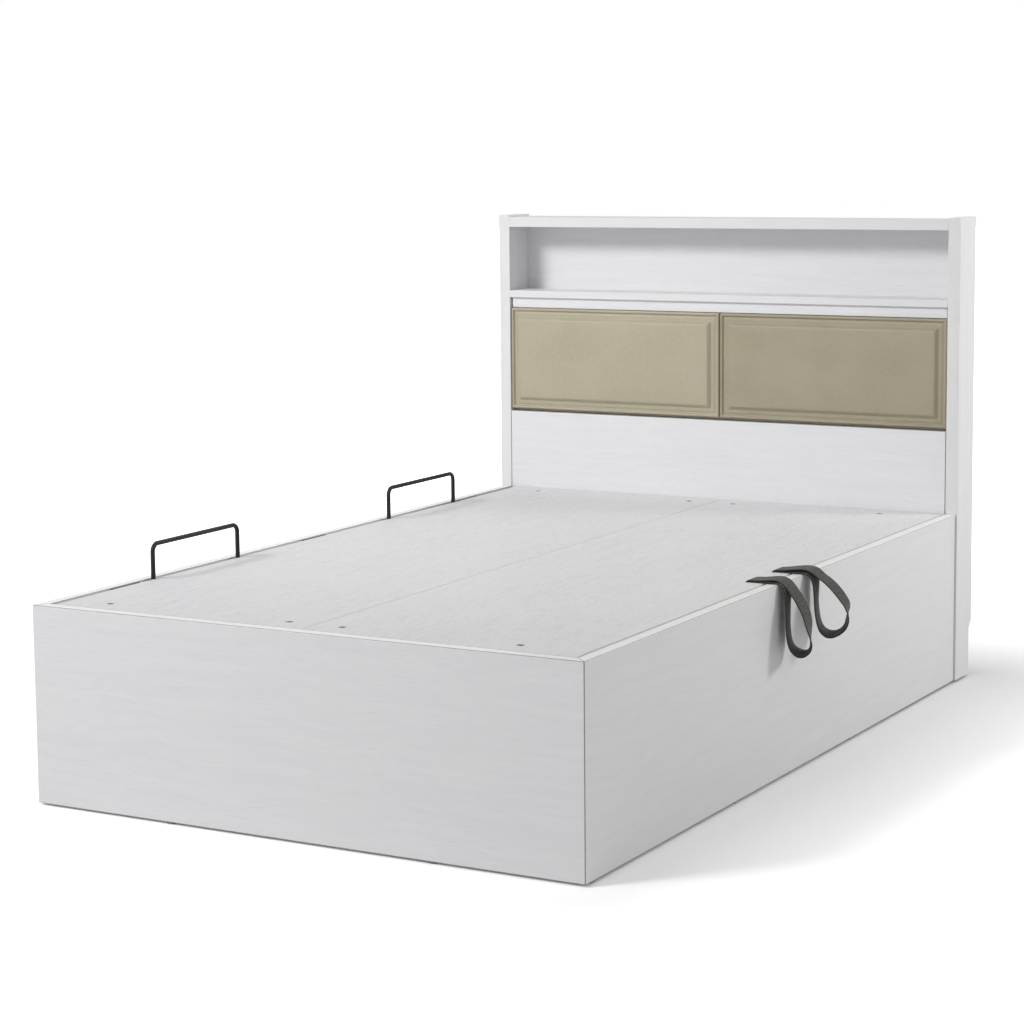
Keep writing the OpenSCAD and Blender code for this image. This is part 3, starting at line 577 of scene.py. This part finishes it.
# The right cover's colours are painted darker than the left's: painted shade.
LEATHER_WITH_PAINTED_SHADE = {"left": grained_leather("left", "#B3AC96", "#ABA48C", "#BAB39E"),
           "right": grained_leather("right", "#A39C86", "#9A927B", "#A8A18B")}
leather_panels = []
for side in ("left", "right"):
    low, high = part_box("pad_leather_" + side)
    panel = as_piece(leather_front(low, high, high.y - LEATHER_DEPTH), "padded_leather_" + side,
                     [LEATHER_WITH_PAINTED_SHADE[side]], smooth_angle=math.radians(60))
    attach(panel, "base")
    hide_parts("pad_leather_" + side)
    leather_panels.append(panel)
print("leather panels", [len(p.data.polygons) for p in leather_panels], "faces each")

# %% [markdown]
# Geometry Nodes make what repeats. A tree is written once, with named inputs, and any path or set
# of points can drive it. The modifier's inputs are set by the sockets' identifiers, the result is
# turned into a plain mesh, and the modifier goes. Instances bring an empty material slot, which
# goes too.

# %% Helpers for Geometry Nodes
def geometry_tree(name, sizes):
    """A tree with a geometry, some sizes in metres and a material as its inputs."""
    tree = bpy.data.node_groups.new(name, "GeometryNodeTree")
    tree.interface.new_socket("Geometry", in_out="INPUT", socket_type="NodeSocketGeometry")
    for label in sizes:
        tree.interface.new_socket(label, in_out="INPUT", socket_type="NodeSocketFloat")
    tree.interface.new_socket("Material", in_out="INPUT", socket_type="NodeSocketMaterial")
    tree.interface.new_socket("Geometry", in_out="OUTPUT", socket_type="NodeSocketGeometry")
    return tree, add(tree, "NodeGroupInput").outputs


def close_tree(tree, instances, given):
    """Realizes the instances, gives them their material and ends the tree."""
    real = add(tree, "GeometryNodeRealizeInstances", {0: instances}).outputs[0]
    dressed = add(tree, "GeometryNodeSetMaterial", {"Geometry": real,
                                                    "Material": given["Material"]}).outputs[0]
    add(tree, "NodeGroupOutput", {"Geometry": dressed})


def grown(name, points, edges, tree, material, values):
    """Runs a tree on a mesh of points and edges, and returns the result as a plain piece."""
    seed = bpy.data.meshes.new(name + "_seed")
    seed.from_pydata(points, edges, [])
    piece = bpy.data.objects.new(name, seed)
    bpy.context.scene.collection.objects.link(piece)
    modifier = piece.modifiers.new("grow", "NODES")
    modifier.node_group = tree
    for socket in tree.interface.items_tree:
        if socket.in_out == "INPUT" and socket.name in values:
            modifier[socket.identifier] = values[socket.name]
        if socket.in_out == "INPUT" and socket.name == "Material":
            modifier[socket.identifier] = material
    view = bpy.context.evaluated_depsgraph_get()
    result = bpy.data.meshes.new_from_object(piece.evaluated_get(view))
    piece.modifiers.clear()
    piece.data = result
    piece.data.name = name
    result.materials.clear()
    result.materials.append(material)
    return piece


print("Geometry Nodes helpers ready")

# %% [markdown]
# The border is sewn to the backing with a lockstitch: 5 mm stitches of thick thread, 6.5 mm apart,
# each pulled slightly into the leather. The tree walks the seam at that pitch and lays a flattened
# thread on each point, along the seam.

# %% Stitches along the borders
def stitch_tree():
    tree, given = geometry_tree("lockstitch", ["Pitch", "Length", "Thread"])
    seam = add(tree, "GeometryNodeMeshToCurve", {0: given["Geometry"]}).outputs[0]
    steps = add(tree, "GeometryNodeResampleCurve", {"Curve": seam, "Length": given["Pitch"]},
                mode="LENGTH")
    half = add(tree, "ShaderNodeMath", {0: given["Length"], 1: 0.5}, operation="MULTIPLY")
    size = add(tree, "ShaderNodeCombineXYZ", {0: given["Thread"], 1: given["Thread"],
                                              2: half.outputs[0]}).outputs[0]
    thread = add(tree, "GeometryNodeMeshUVSphere", {"Segments": 8, "Rings": 6, "Radius": 1.0})
    along = add(tree, "GeometryNodeInputTangent").outputs[0]
    turn = add(tree, "FunctionNodeAlignRotationToVector", {"Vector": along}, axis="Z")
    laid = add(tree, "GeometryNodeInstanceOnPoints", {
        "Points": steps.outputs[0], "Instance": thread.outputs[0], "Rotation": turn.outputs[0],
        "Scale": size})
    close_tree(tree, laid.outputs[0], given)
    return tree


def sewing_thread():
    material, tree, shader = finish("polyester_thread", **{"IOR": 1.5, "Roughness": 0.6})
    twist = noise(tree, (0.0008, 0.0008, 0.0008), detail=1)
    tree.links.new(between(tree, spread(tree, twist, 0, 1), linear("#9E967F"),
                           linear("#CBC4B0")), shader.inputs["Base Color"])
    return material


THREAD = sewing_thread()
LOCKSTITCH = stitch_tree()
STITCH = {"Pitch": 0.0065, "Length": 0.005, "Thread": 0.00045}
SEAM_INSET, SEAM_OUT = 0.0165, 0.0003  # in from the panel's edge, out from its border
for side in ("left", "right"):
    low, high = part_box("pad_leather_" + side)
    seam_y = high.y - LEATHER_DEPTH - SEAM_OUT
    x0, x1, z0, z1 = (low.x + SEAM_INSET, high.x - SEAM_INSET, low.z + SEAM_INSET,
                      high.z - SEAM_INSET)
    seam = [(x0, seam_y, z0), (x1, seam_y, z0), (x1, seam_y, z1), (x0, seam_y, z1)]
    stitches = grown("stitches_" + side, seam, [(0, 1), (1, 2), (2, 3), (3, 0)], LOCKSTITCH,
                     THREAD, STITCH)
    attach(stitches, "base")
    print(stitches.name, len(stitches.data.polygons), "faces")

# %% [markdown]
# Countersunk bolts hold the boards to the frame, so that nothing stands in the mattress's way. A
# head is a cone with a hexagon socket. The tree cuts the socket out of one cone and sets a copy on
# each point, so that a change of size changes them all.

# %% Bolts
def socket_head_tree():
    tree, given = geometry_tree("socket_head", ["Top Radius", "Foot Radius", "Height", "Socket"])
    cone = add(tree, "GeometryNodeMeshCone", {
        "Vertices": 32, "Radius Top": given["Top Radius"], "Radius Bottom": given["Foot Radius"],
        "Depth": given["Height"]})
    hexagon = add(tree, "GeometryNodeMeshCylinder", {
        "Vertices": 6, "Radius": given["Socket"], "Depth": given["Height"]})
    lift = add(tree, "ShaderNodeCombineXYZ", {2: given["Height"]}).outputs[0]
    raised = add(tree, "GeometryNodeTransform", {"Geometry": hexagon.outputs[0],
                                                 "Translation": lift})
    head = add(tree, "GeometryNodeMeshBoolean", {"Mesh 1": cone.outputs[0],
                                                 "Mesh 2": raised.outputs[0]},
               operation="DIFFERENCE")
    laid = add(tree, "GeometryNodeInstanceOnPoints", {"Points": given["Geometry"],
                                                      "Instance": head.outputs[0]})
    close_tree(tree, laid.outputs[0], given)
    return tree


SOCKET_HEAD = socket_head_tree()
bolt_low, bolt_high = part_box("platform_bolts")
BOLT_R, BOLT_H = 0.008, 0.004
BOLT_FROM_SEAM = 0.06
seam_x = (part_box("platform_board_left")[1].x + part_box("platform_board_right")[0].x) / 2
bolt_xs = (bolt_low.x + BOLT_R, seam_x - BOLT_FROM_SEAM, seam_x + BOLT_FROM_SEAM,
           bolt_high.x - BOLT_R)
bolt_ys = (bolt_low.y + BOLT_R, bolt_high.y - BOLT_R)
bolts = grown("countersunk_bolts", [(x, y, bolt_high.z - BOLT_H) for x in bolt_xs
                                    for y in bolt_ys], [], SOCKET_HEAD, BLACK_ZINC,
              {"Top Radius": BOLT_R, "Foot Radius": 0.0035, "Height": BOLT_H, "Socket": 0.003})
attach(bolts, "platform")
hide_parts("platform_bolts")
print(bolts.name, len(bolts.data.polygons), "faces")

# %% [markdown]
# A bar and a strap are both one section carried along a path. The helper takes the path, the
# section, and for each point of the path the direction in which the section's width lies, so that
# a strap can twist on its way.

# %% Helper: carry a section along a path
ROUNDED = math.radians(50)  # a sharper edge stays an edge


def swept(name, path, widths, section, materials):
    """section lists (along the width, across it) in metres. UVs are in metres: the way round the
    section, and the way along the path."""
    mesh = bmesh.new()
    uv = mesh.loops.layers.uv.new("UVMap")
    round_way = [0]
    for a, b in zip(section, section[1:] + section[:1]):
        round_way.append(round_way[-1] + math.dist(a, b))
    way = [0]
    for a, b in zip(path, path[1:]):
        way.append(way[-1] + (b - a).length)
    rings = []
    for i, point in enumerate(path):
        tangent = (path[min(i + 1, len(path) - 1)] - path[max(i - 1, 0)]).normalized()
        normal = tangent.cross(widths[i]).normalized()
        width = normal.cross(tangent)
        rings.append([mesh.verts.new(point + width * a + normal * b) for a, b in section])
    count = len(section)
    for i, (r0, r1) in enumerate(zip(rings, rings[1:])):
        for k in range(count):
            j = (k + 1) % count
            face = mesh.faces.new((r0[k], r0[j], r1[j], r1[k]))
            for loop, (u, v) in zip(face.loops, ((k, i), (k + 1, i), (k + 1, i + 1),
                                                 (k, i + 1))):
                loop[uv].uv = (round_way[u], way[v])
    mesh.faces.new(rings[0][::-1])
    mesh.faces.new(rings[-1])
    bmesh.ops.recalc_face_normals(mesh, faces=mesh.faces)
    return as_piece(mesh, name, materials, ROUNDED)


def smooth_path(stations, step=0.0025):
    """Runs a smooth curve through rows of numbers, whose first three are a point."""
    rows = [stations[0]] + list(stations) + [stations[-1]]
    out = []
    for p0, p1, p2, p3 in zip(rows, rows[1:], rows[2:], rows[3:]):
        count = max(1, round(math.dist(p1[:3], p2[:3]) / step))
        for i in range(count):
            t = i / count
            out.append([0.5 * (2 * b + (c - a) * t + (2 * a - 5 * b + 4 * c - d) * t * t
                               + (3 * b - a - 3 * c + d) * t ** 3)
                        for a, b, c, d in zip(p0, p1, p2, p3)])
    return out + [list(stations[-1])]


print("sweep ready")

# %% [markdown]
# Each mattress bar is one 10 mm round steel bar, bent twice and welded to two foot plates on the
# frame. Bent on a former it keeps its round section, so a ring is carried round each bend.

# %% Mattress bars
BAR_R, BAR_BEND = 0.005, 0.017
BAR_SIDES, BEND_STEPS = 24, 12
BAR_LEG = 0.155  # from a bar's middle to each of its legs
BAR_SUNK = 0.001  # a leg's end in its plate
PLATE_T, PLATE_EASE = 0.0025, 0.0005
PLATE_TO_FOOT, PLATE_TO_HEAD = 0.026, 0.008  # a plate's reach on both sides of its leg
turns = [math.tau * k / BAR_SIDES for k in range(BAR_SIDES)]
ring = [(BAR_R * math.cos(turn), BAR_R * math.sin(turn)) for turn in turns]


def eased_block(mesh, low, high, ease):
    """Adds a block with eased edges to a bmesh."""
    made = bmesh.ops.create_cube(mesh, size=1)["verts"]
    bmesh.ops.scale(mesh, vec=high - low, verts=made)
    bmesh.ops.translate(mesh, vec=(low + high) / 2, verts=made)
    edges = list({e for v in made for e in v.link_edges})
    bmesh.ops.bevel(mesh, geom=edges, offset=ease, offset_type="OFFSET", segments=2,
                    profile=0.5, affect="EDGES")


for end in ("foot", "head"):
    low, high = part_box("mattress_bar_" + end)
    bar_x = low.x + BAR_R
    middle = (low.y + high.y + PLATE_TO_FOOT - PLATE_TO_HEAD) / 2
    top = high.z - BAR_R
    plate_top = low.z + PLATE_T
    path = [Vector((bar_x, middle - BAR_LEG, plate_top - BAR_SUNK))]
    for sign, start in ((-1, 180), (1, 90)):
        for k in range(BEND_STEPS + 1):
            angle = math.radians(start - 90 * k / BEND_STEPS)
            path.append(Vector((bar_x, middle + sign * (BAR_LEG - BAR_BEND)
                                + BAR_BEND * math.cos(angle),
                                top - BAR_BEND + BAR_BEND * math.sin(angle))))
    path.append(Vector((bar_x, middle + BAR_LEG, plate_top - BAR_SUNK)))
    bar = swept("mattress_bar_round_" + end, path, [Vector((1, 0, 0))] * len(path), ring,
                [POWDER_STEEL])
    plates = bmesh.new()
    for y in (middle - BAR_LEG, middle + BAR_LEG):
        eased_block(plates, Vector((low.x, y - PLATE_TO_FOOT, low.z)),
                    Vector((high.x, y + PLATE_TO_HEAD, plate_top)), PLATE_EASE)
    plate = as_piece(plates, "mattress_bar_plates_" + end, [POWDER_STEEL], ROUNDED)
    for piece in (bar, plate):
        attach(piece, "platform")
    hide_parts("mattress_bar_" + end)
    print(bar.name, [round(v, 4) for v in (bar_x, middle, top)])

# %% [markdown]
# One screw holds each foot plate. Its head stands on the plate and is wider at its foot than at
# its top, and the same tree makes it.

# %% Screws of the bars
SCREW_R, SCREW_H = 0.0045, 0.0025
screw_low, screw_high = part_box("bar_screws")
screw_x = (screw_low.x + screw_high.x) / 2
bar_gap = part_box("mattress_bar_head")[0].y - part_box("mattress_bar_foot")[0].y
screw_ys = [screw_low.y + SCREW_R + bar + leg for bar in (0, bar_gap) for leg in (0, 2 * BAR_LEG)]
screws = grown("bar_foot_screws", [(screw_x, y, screw_high.z - SCREW_H) for y in screw_ys], [],
               SOCKET_HEAD, BLACK_ZINC, {"Top Radius": 0.0036, "Foot Radius": SCREW_R,
                                         "Height": SCREW_H, "Socket": 0.0016})
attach(screws, "platform")
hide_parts("bar_screws")
print(screws.name, len(screws.data.polygons), "faces")

# %% [markdown]
# The pull straps are 48 mm polyester webbing, woven in a twill: fine diagonal ribs, with a dense
# selvedge along both edges. The edges are painted darker: the selvedge's own colour, and painted
# shade along the strands' edges. The weave follows the strap, so it reads the strap's own UV map,
# whose units are metres. Ribs are 1.6 mm apart, drawn at 3.2 mm so that they show. Worn fibres
# make paler specks of 3 to 5 mm.

# %% Woven webbing
STRAP_W, STRAP_T = 0.048, 0.0022
RIB_PITCH, RIB_SLANT = 0.0032, 0.6
WARP_PITCH = 0.0012
SELVEDGE_AND_SHADE_FROM, SELVEDGE_AND_SHADE_TO = 0.0035, 0.0015  # from the edge: where it starts and is darkest


def woven_webbing():
    material, tree, shader = finish("polyester_webbing_twill", **{
        "IOR": 1.5, "Specular IOR Level": 0.25, "Sheen Weight": 0.1, "Sheen Roughness": 0.5})
    place = add(tree, "ShaderNodeTexCoord").outputs["UV"]
    parts = add(tree, "ShaderNodeSeparateXYZ", {0: place})
    slant = add(tree, "ShaderNodeMath", {0: parts.outputs[0], 1: RIB_SLANT,
                                          2: parts.outputs[1]},
                operation="MULTIPLY_ADD").outputs[0]
    ribs = add(tree, "ShaderNodeMath", {0: slant, 1: math.tau / RIB_PITCH},
               operation="MULTIPLY").outputs[0]
    ribs = add(tree, "ShaderNodeMath", {0: ribs}, operation="SINE").outputs[0]
    warp = add(tree, "ShaderNodeMath", {0: parts.outputs[0], 1: math.tau / WARP_PITCH},
               operation="MULTIPLY").outputs[0]
    warp = add(tree, "ShaderNodeMath", {0: warp}, operation="SINE").outputs[0]
    fuzz = noise(tree, (0.0026, 0.0052, 1), detail=3, roughness=0.65, source="UV")
    # The way round the section starts at one edge: both faces count their distance from an edge
    half_way = STRAP_W + STRAP_T / 2
    folded = add(tree, "ShaderNodeMath", {0: parts.outputs[0], 1: half_way},
                 operation="PINGPONG").outputs[0]
    from_edge = add(tree, "ShaderNodeMath", {0: folded, 1: half_way / 2},
                    operation="SUBTRACT").outputs[0]
    from_edge = add(tree, "ShaderNodeMath", {0: from_edge}, operation="ABSOLUTE").outputs[0]
    # Darker towards both edges: the selvedge, and painted shade along the strands' edges.
    edge = spread(tree, from_edge, 0, 0.8, half_way / 2 - SELVEDGE_AND_SHADE_FROM,
                  half_way / 2 - SELVEDGE_AND_SHADE_TO)
    tone = between(tree, spread(tree, ribs, 0, 1, -1, 1), linear("#1F1F1E"), linear("#45443F"))
    tone = between(tree, spread(tree, fuzz, 0, 0.75, 0.44, 0.6), tone, linear("#6A6863"))
    tone = between(tree, edge, tone, linear("#272624"))
    low_ribs = relief(tree, spread(tree, warp, 0, 1, -1, 1), 0.0002, strength=0.5)
    dress(tree, shader, tone, spread(tree, fuzz, 0.75, 0.95),
          relief(tree, spread(tree, ribs, 0, 1, -1, 1), 0.0004, low_ribs, 0.8))
    return material


WEBBING = woven_webbing()
print(WEBBING.name)

# %% [markdown]
# Each strap is one length of webbing: up through its slot, over the rim, out and down, and back
# the same way. It stands out because webbing is springy, and it turns edge-on at its lowest outer
# corner, where the slack takes a twist. Each row of the tables is one place on that way: out from
# the side panel, towards the head, up from the rim, and the turn and tilt of the width. Both
# straps go up and down their slots alike.

# %% Pull straps
# Millimetres and degrees
SLOT_UP = [(-72.2, 0, -38, 0, 0), (-72.2, 0, -22, 0, 0), (-72.2, 0, -8, 0, 0),
           (-71.4, 0, -1, 0, 0)]
SLOT_DOWN = [(-36, -1, 1.5, 0, 0), (-52, 0, 1.4, 0, 0), (-64, 0, 1.4, 0, 0), (-68, 0, 0.6, 0, 0),
             (-69.6, 0, -3.5, 0, 0), (-69.8, 0, -10, 0, 0), (-69.8, 0, -22, 0, 0),
             (-69.8, 0, -38, 0, 0)]
STRAP_WAYS = {
    "foot": [
        (-69, 0, 2.9, 0, 0), (-62, 0, 4, 0, 0), (-48, 1, 4.4, 0, 1), (-30, 2, 6.4, 0, 2),
        (-15, 3, 8, 0, 2), (-3, 4, 6.6, 0, 2), (8, 4, 0.6, 0, 2), (16, 5, -7.5, 0, 0),
        (25, 5, -19, 0, 0), (33, 5, -30, 0, 0), (40, 5, -41, 0, 0), (47, 5, -54, -1, 0),
        (52, 5, -67, -3, 0), (55.5, 5, -81, -6, 0), (57.5, 5, -95, -13, 0),
        (59.5, 5, -109, -21, 0), (61, 5, -121, -26, 0), (59, 5, -133, -23, 4),
        (52.5, 4, -141.5, -15, 8), (43.5, 3, -144.5, -10, 9), (34, 2, -142.5, -10, 8),
        (25, 0, -136, -11, 5), (18.4, -1, -125, -12, 2), (15, -2, -110, -12, 0),
        (13.6, -3, -90.7, -12, 0), (13.2, -3, -68.8, -12, 0), (13.2, -3, -45, -11, 0),
        (13.1, -3, -25, -8, 0), (12.2, -3, -11, -4, 0), (8.6, -3, -2.9, 0, 0),
        (2, -3, 1.4, 0, 0), (-8, -2, 1.8, 0, 0), (-20, -2, 1.7, 0, 0)],
    "head": [
        (-69, 0, 3.1, 0, 0), (-61, 0, 4.4, 0, 0), (-47, 1, 5.6, 0, 1), (-30, 2, 8.2, 0, 2),
        (-12, 3, 10.2, 0, 2), (0, 4, 9.8, 0, 2), (11, 4, 6.8, 0, 2), (19, 5, 1.6, 0, 1),
        (27, 5, -4.4, 0, 0), (43, 5, -15, 0, 0), (56, 5, -26, 0, 0), (67, 5, -37.5, -1, 0),
        (77, 5, -50, -3, 0), (84, 5, -60.5, -7, 0), (87, 5, -71.9, -14, 0),
        (87.4, 5, -83, -24, 0), (85.5, 5, -96, -27, 2), (80, 5, -109, -23, 6),
        (70, 4, -119.5, -15, 9), (57.5, 3, -125.5, -10, 10), (44.5, 2, -125.5, -10, 8),
        (33.5, 0, -118.5, -11, 5), (26, -1, -105, -12, 2), (21.8, -2, -85, -12, 0),
        (19.8, -3, -62.2, -12, 0), (19.4, -3, -40, -10, 0), (18.6, -3, -20, -6, 0),
        (15.4, -3, -8, -2, 0), (9.5, -3, -0.9, 0, 0), (1, -3, 2, 0, 0), (-8, -2, 2.3, 0, 0),
        (-20, -2, 1.9, 0, 0)],
}
half_w, half_t = STRAP_W / 2, STRAP_T / 2
edge_round = [(half_w - 0.0012, half_t), (half_w - 0.0003, 0.75 * half_t), (half_w, 0)]
strap_face = ([(-x, y) for x, y in reversed(edge_round)]
              + [(-half_w / 2, half_t), (0, half_t), (half_w / 2, half_t)] + edge_round)
strap_section = strap_face + [(x, -y) for x, y in strap_face[-2:0:-1]]
side_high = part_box("side_panel_right")[1]
for end, way in STRAP_WAYS.items():
    loop_low, loop_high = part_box("strap_loop_" + end)
    middle = (loop_low.y + loop_high.y) / 2
    rows = smooth_path([(side_high.x + x / 1000, middle + y / 1000, side_high.z + z / 1000,
                         turn, tilt) for x, y, z, turn, tilt in SLOT_UP + way + SLOT_DOWN])
    widths = [Vector((math.sin(math.radians(t)) * math.cos(math.radians(k)),
                      math.cos(math.radians(t)) * math.cos(math.radians(k)),
                      math.sin(math.radians(k)))) for _, _, _, t, k in rows]
    strap = swept("pull_strap_" + end, [Vector(r[:3]) for r in rows], widths, strap_section,
                  [WEBBING])
    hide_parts("strap_loop_" + end, "strap_tail_" + end)
    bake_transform(strap)
    print(strap.name, len(strap.data.polygons), "faces")

# %% [markdown]
# A product photograph like this stands on a white sweep. The floor is a plain pale disc. For the
# camera and for mirrors it reflects more than the bed sees. It also glows there: a little from
# 60 mm beyond the base's sides, and more further out, where the lamps fade. So it reads white and
# still takes the bed's shadow.

# %% Stage
FLOOR_LIFT = 0.45
FLOOR_GLOW_FROM, FLOOR_GLOW_TO = 1.9, 4.5  # from the bed's middle
FRINGE_FROM, FRINGE_TO, FRINGE_GLOW = 0.06, 0.5, 0.42  # from the base's sides
BASE_HALF = (0.62, 1.0, 0)


def shows_background(tree):
    """1 for a ray of the camera, of a mirror or of glass, and 0 for the light on the bed."""
    rays = add(tree, "ShaderNodeLightPath").outputs
    seen = add(tree, "ShaderNodeMath", {0: rays["Is Camera Ray"], 1: rays["Is Glossy Ray"]},
               operation="MAXIMUM").outputs[0]
    return add(tree, "ShaderNodeMath", {0: seen, 1: rays["Is Transmission Ray"]},
               operation="MAXIMUM").outputs[0]


def white_floor():
    material, tree, shader = finish("painted_floor", **{
        "IOR": 1.45, "Roughness": 0.9, "Specular IOR Level": 0.1})
    grain = noise(tree, (0.5, 0.5, 0.5), detail=2)
    tree.links.new(between(tree, spread(tree, grain, 0, 1), linear("#F4F4F4"),
                           linear("#F6F6F6")), shader.inputs["Base Color"])
    place = add(tree, "ShaderNodeTexCoord").outputs["Object"]
    away = add(tree, "ShaderNodeVectorMath", {0: place}, operation="LENGTH").outputs["Value"]
    beside = add(tree, "ShaderNodeVectorMath", {0: place}, operation="ABSOLUTE").outputs[0]
    beside = add(tree, "ShaderNodeVectorMath", {0: beside, 1: BASE_HALF},
                 operation="SUBTRACT").outputs[0]
    beside = add(tree, "ShaderNodeVectorMath", {0: beside, 1: (0, 0, 0)},
                 operation="MAXIMUM").outputs[0]
    beside = add(tree, "ShaderNodeVectorMath", {0: beside}, operation="LENGTH").outputs["Value"]
    glow = add(tree, "ShaderNodeMapRange", {"Value": away, "From Min": FLOOR_GLOW_FROM,
                                            "From Max": FLOOR_GLOW_TO}).outputs[0]
    fringe = add(tree, "ShaderNodeMapRange", {"Value": beside, "From Min": FRINGE_FROM,
                                              "From Max": FRINGE_TO,
                                              "To Max": FRINGE_GLOW}).outputs[0]
    glow = add(tree, "ShaderNodeMath", {0: glow, 1: fringe}, operation="ADD").outputs[0]
    lift = add(tree, "ShaderNodeBsdfDiffuse", {"Color": (FLOOR_LIFT,) * 3 + (1,)})
    light = add(tree, "ShaderNodeEmission", {"Color": (1, 1, 1, 1), "Strength": glow})
    extra = add(tree, "ShaderNodeAddShader", {0: lift.outputs[0], 1: light.outputs[0]})
    both = add(tree, "ShaderNodeAddShader", {0: shader.outputs[0], 1: extra.outputs[0]})
    mixed = add(tree, "ShaderNodeMixShader", {0: shows_background(tree), 1: shader.outputs[0],
                                              2: both.outputs[0]})
    end = [n for n in tree.nodes if n.bl_idname == "ShaderNodeOutputMaterial"][0]
    tree.links.new(mixed.outputs[0], end.inputs["Surface"])
    return material


floor_mesh = bmesh.new()
bmesh.ops.create_circle(floor_mesh, cap_ends=True, segments=96, radius=30)
floor = as_piece(floor_mesh, "studio_floor", [white_floor()])
print("floor of", round(floor.dimensions.x), "m")

# %% [markdown]
# One soft lamp beyond the foot, left and high, models the bed: the left shows brighter than the
# right, the top board shades the niche, and the shadow falls to the right. A small warm one beside
# the right side lights the side panel from the head end. It leaves out the floor, which keeps its
# shadow. A narrow one lifts the headboard. The rest is an even white room.

# %% Lamps and room
def lamp(name, at, aim, size, power):
    light = bpy.data.lights.new(name, "AREA")
    light.shape = "DISK"
    light.size = size
    light.energy = power
    holder = bpy.data.objects.new(name, light)
    bpy.context.scene.collection.objects.link(holder)
    turn = (Vector(aim) - Vector(at)).to_track_quat("-Z", "Y").to_matrix().to_4x4()
    turn.translation = Vector(at)
    holder.matrix_world = turn
    holder.visible_camera = False
    return holder


ROOM_LEVEL = 0.44
WARM_WHITE = (1.0, 0.98, 0.94)
lamp("key_lamp", at=(-2.75, -4.5, 4.2), aim=(0, 0.2, 0.5), size=1.6, power=137)
side_lamp = lamp("side_lamp", at=(3.2, 2.0, 1.95), aim=(0.6, 0.3, 0.2), size=0.8, power=50)
side_lamp.data.color = WARM_WHITE
unlit = bpy.data.collections.new("not_lit_by_the_side_lamp")
unlit.objects.link(floor)
unlit.collection_objects[0].light_linking.link_state = "EXCLUDE"
side_lamp.light_linking.receiver_collection = unlit
head_lamp = lamp("head_lamp", at=(-2.6, -2.4, 3.2), aim=(-0.1, 0.95, 0.5), size=1.2, power=8)
head_lamp.data.spread = math.radians(55)

world = bpy.data.worlds.new("white_room")
world.use_nodes = True
bpy.context.scene.world = world
air = world.node_tree
air.nodes.clear()
level = add(air, "ShaderNodeMapRange", {"Value": shows_background(air), "To Min": ROOM_LEVEL,
                                        "To Max": 1.0})
room = add(air, "ShaderNodeBackground", {"Color": (1, 1, 1, 1), "Strength": level.outputs[0]})
add(air, "ShaderNodeOutputWorld", {"Surface": room.outputs[0]})
bpy.context.scene.view_settings.view_transform = "Standard"
print("lamps and room set")
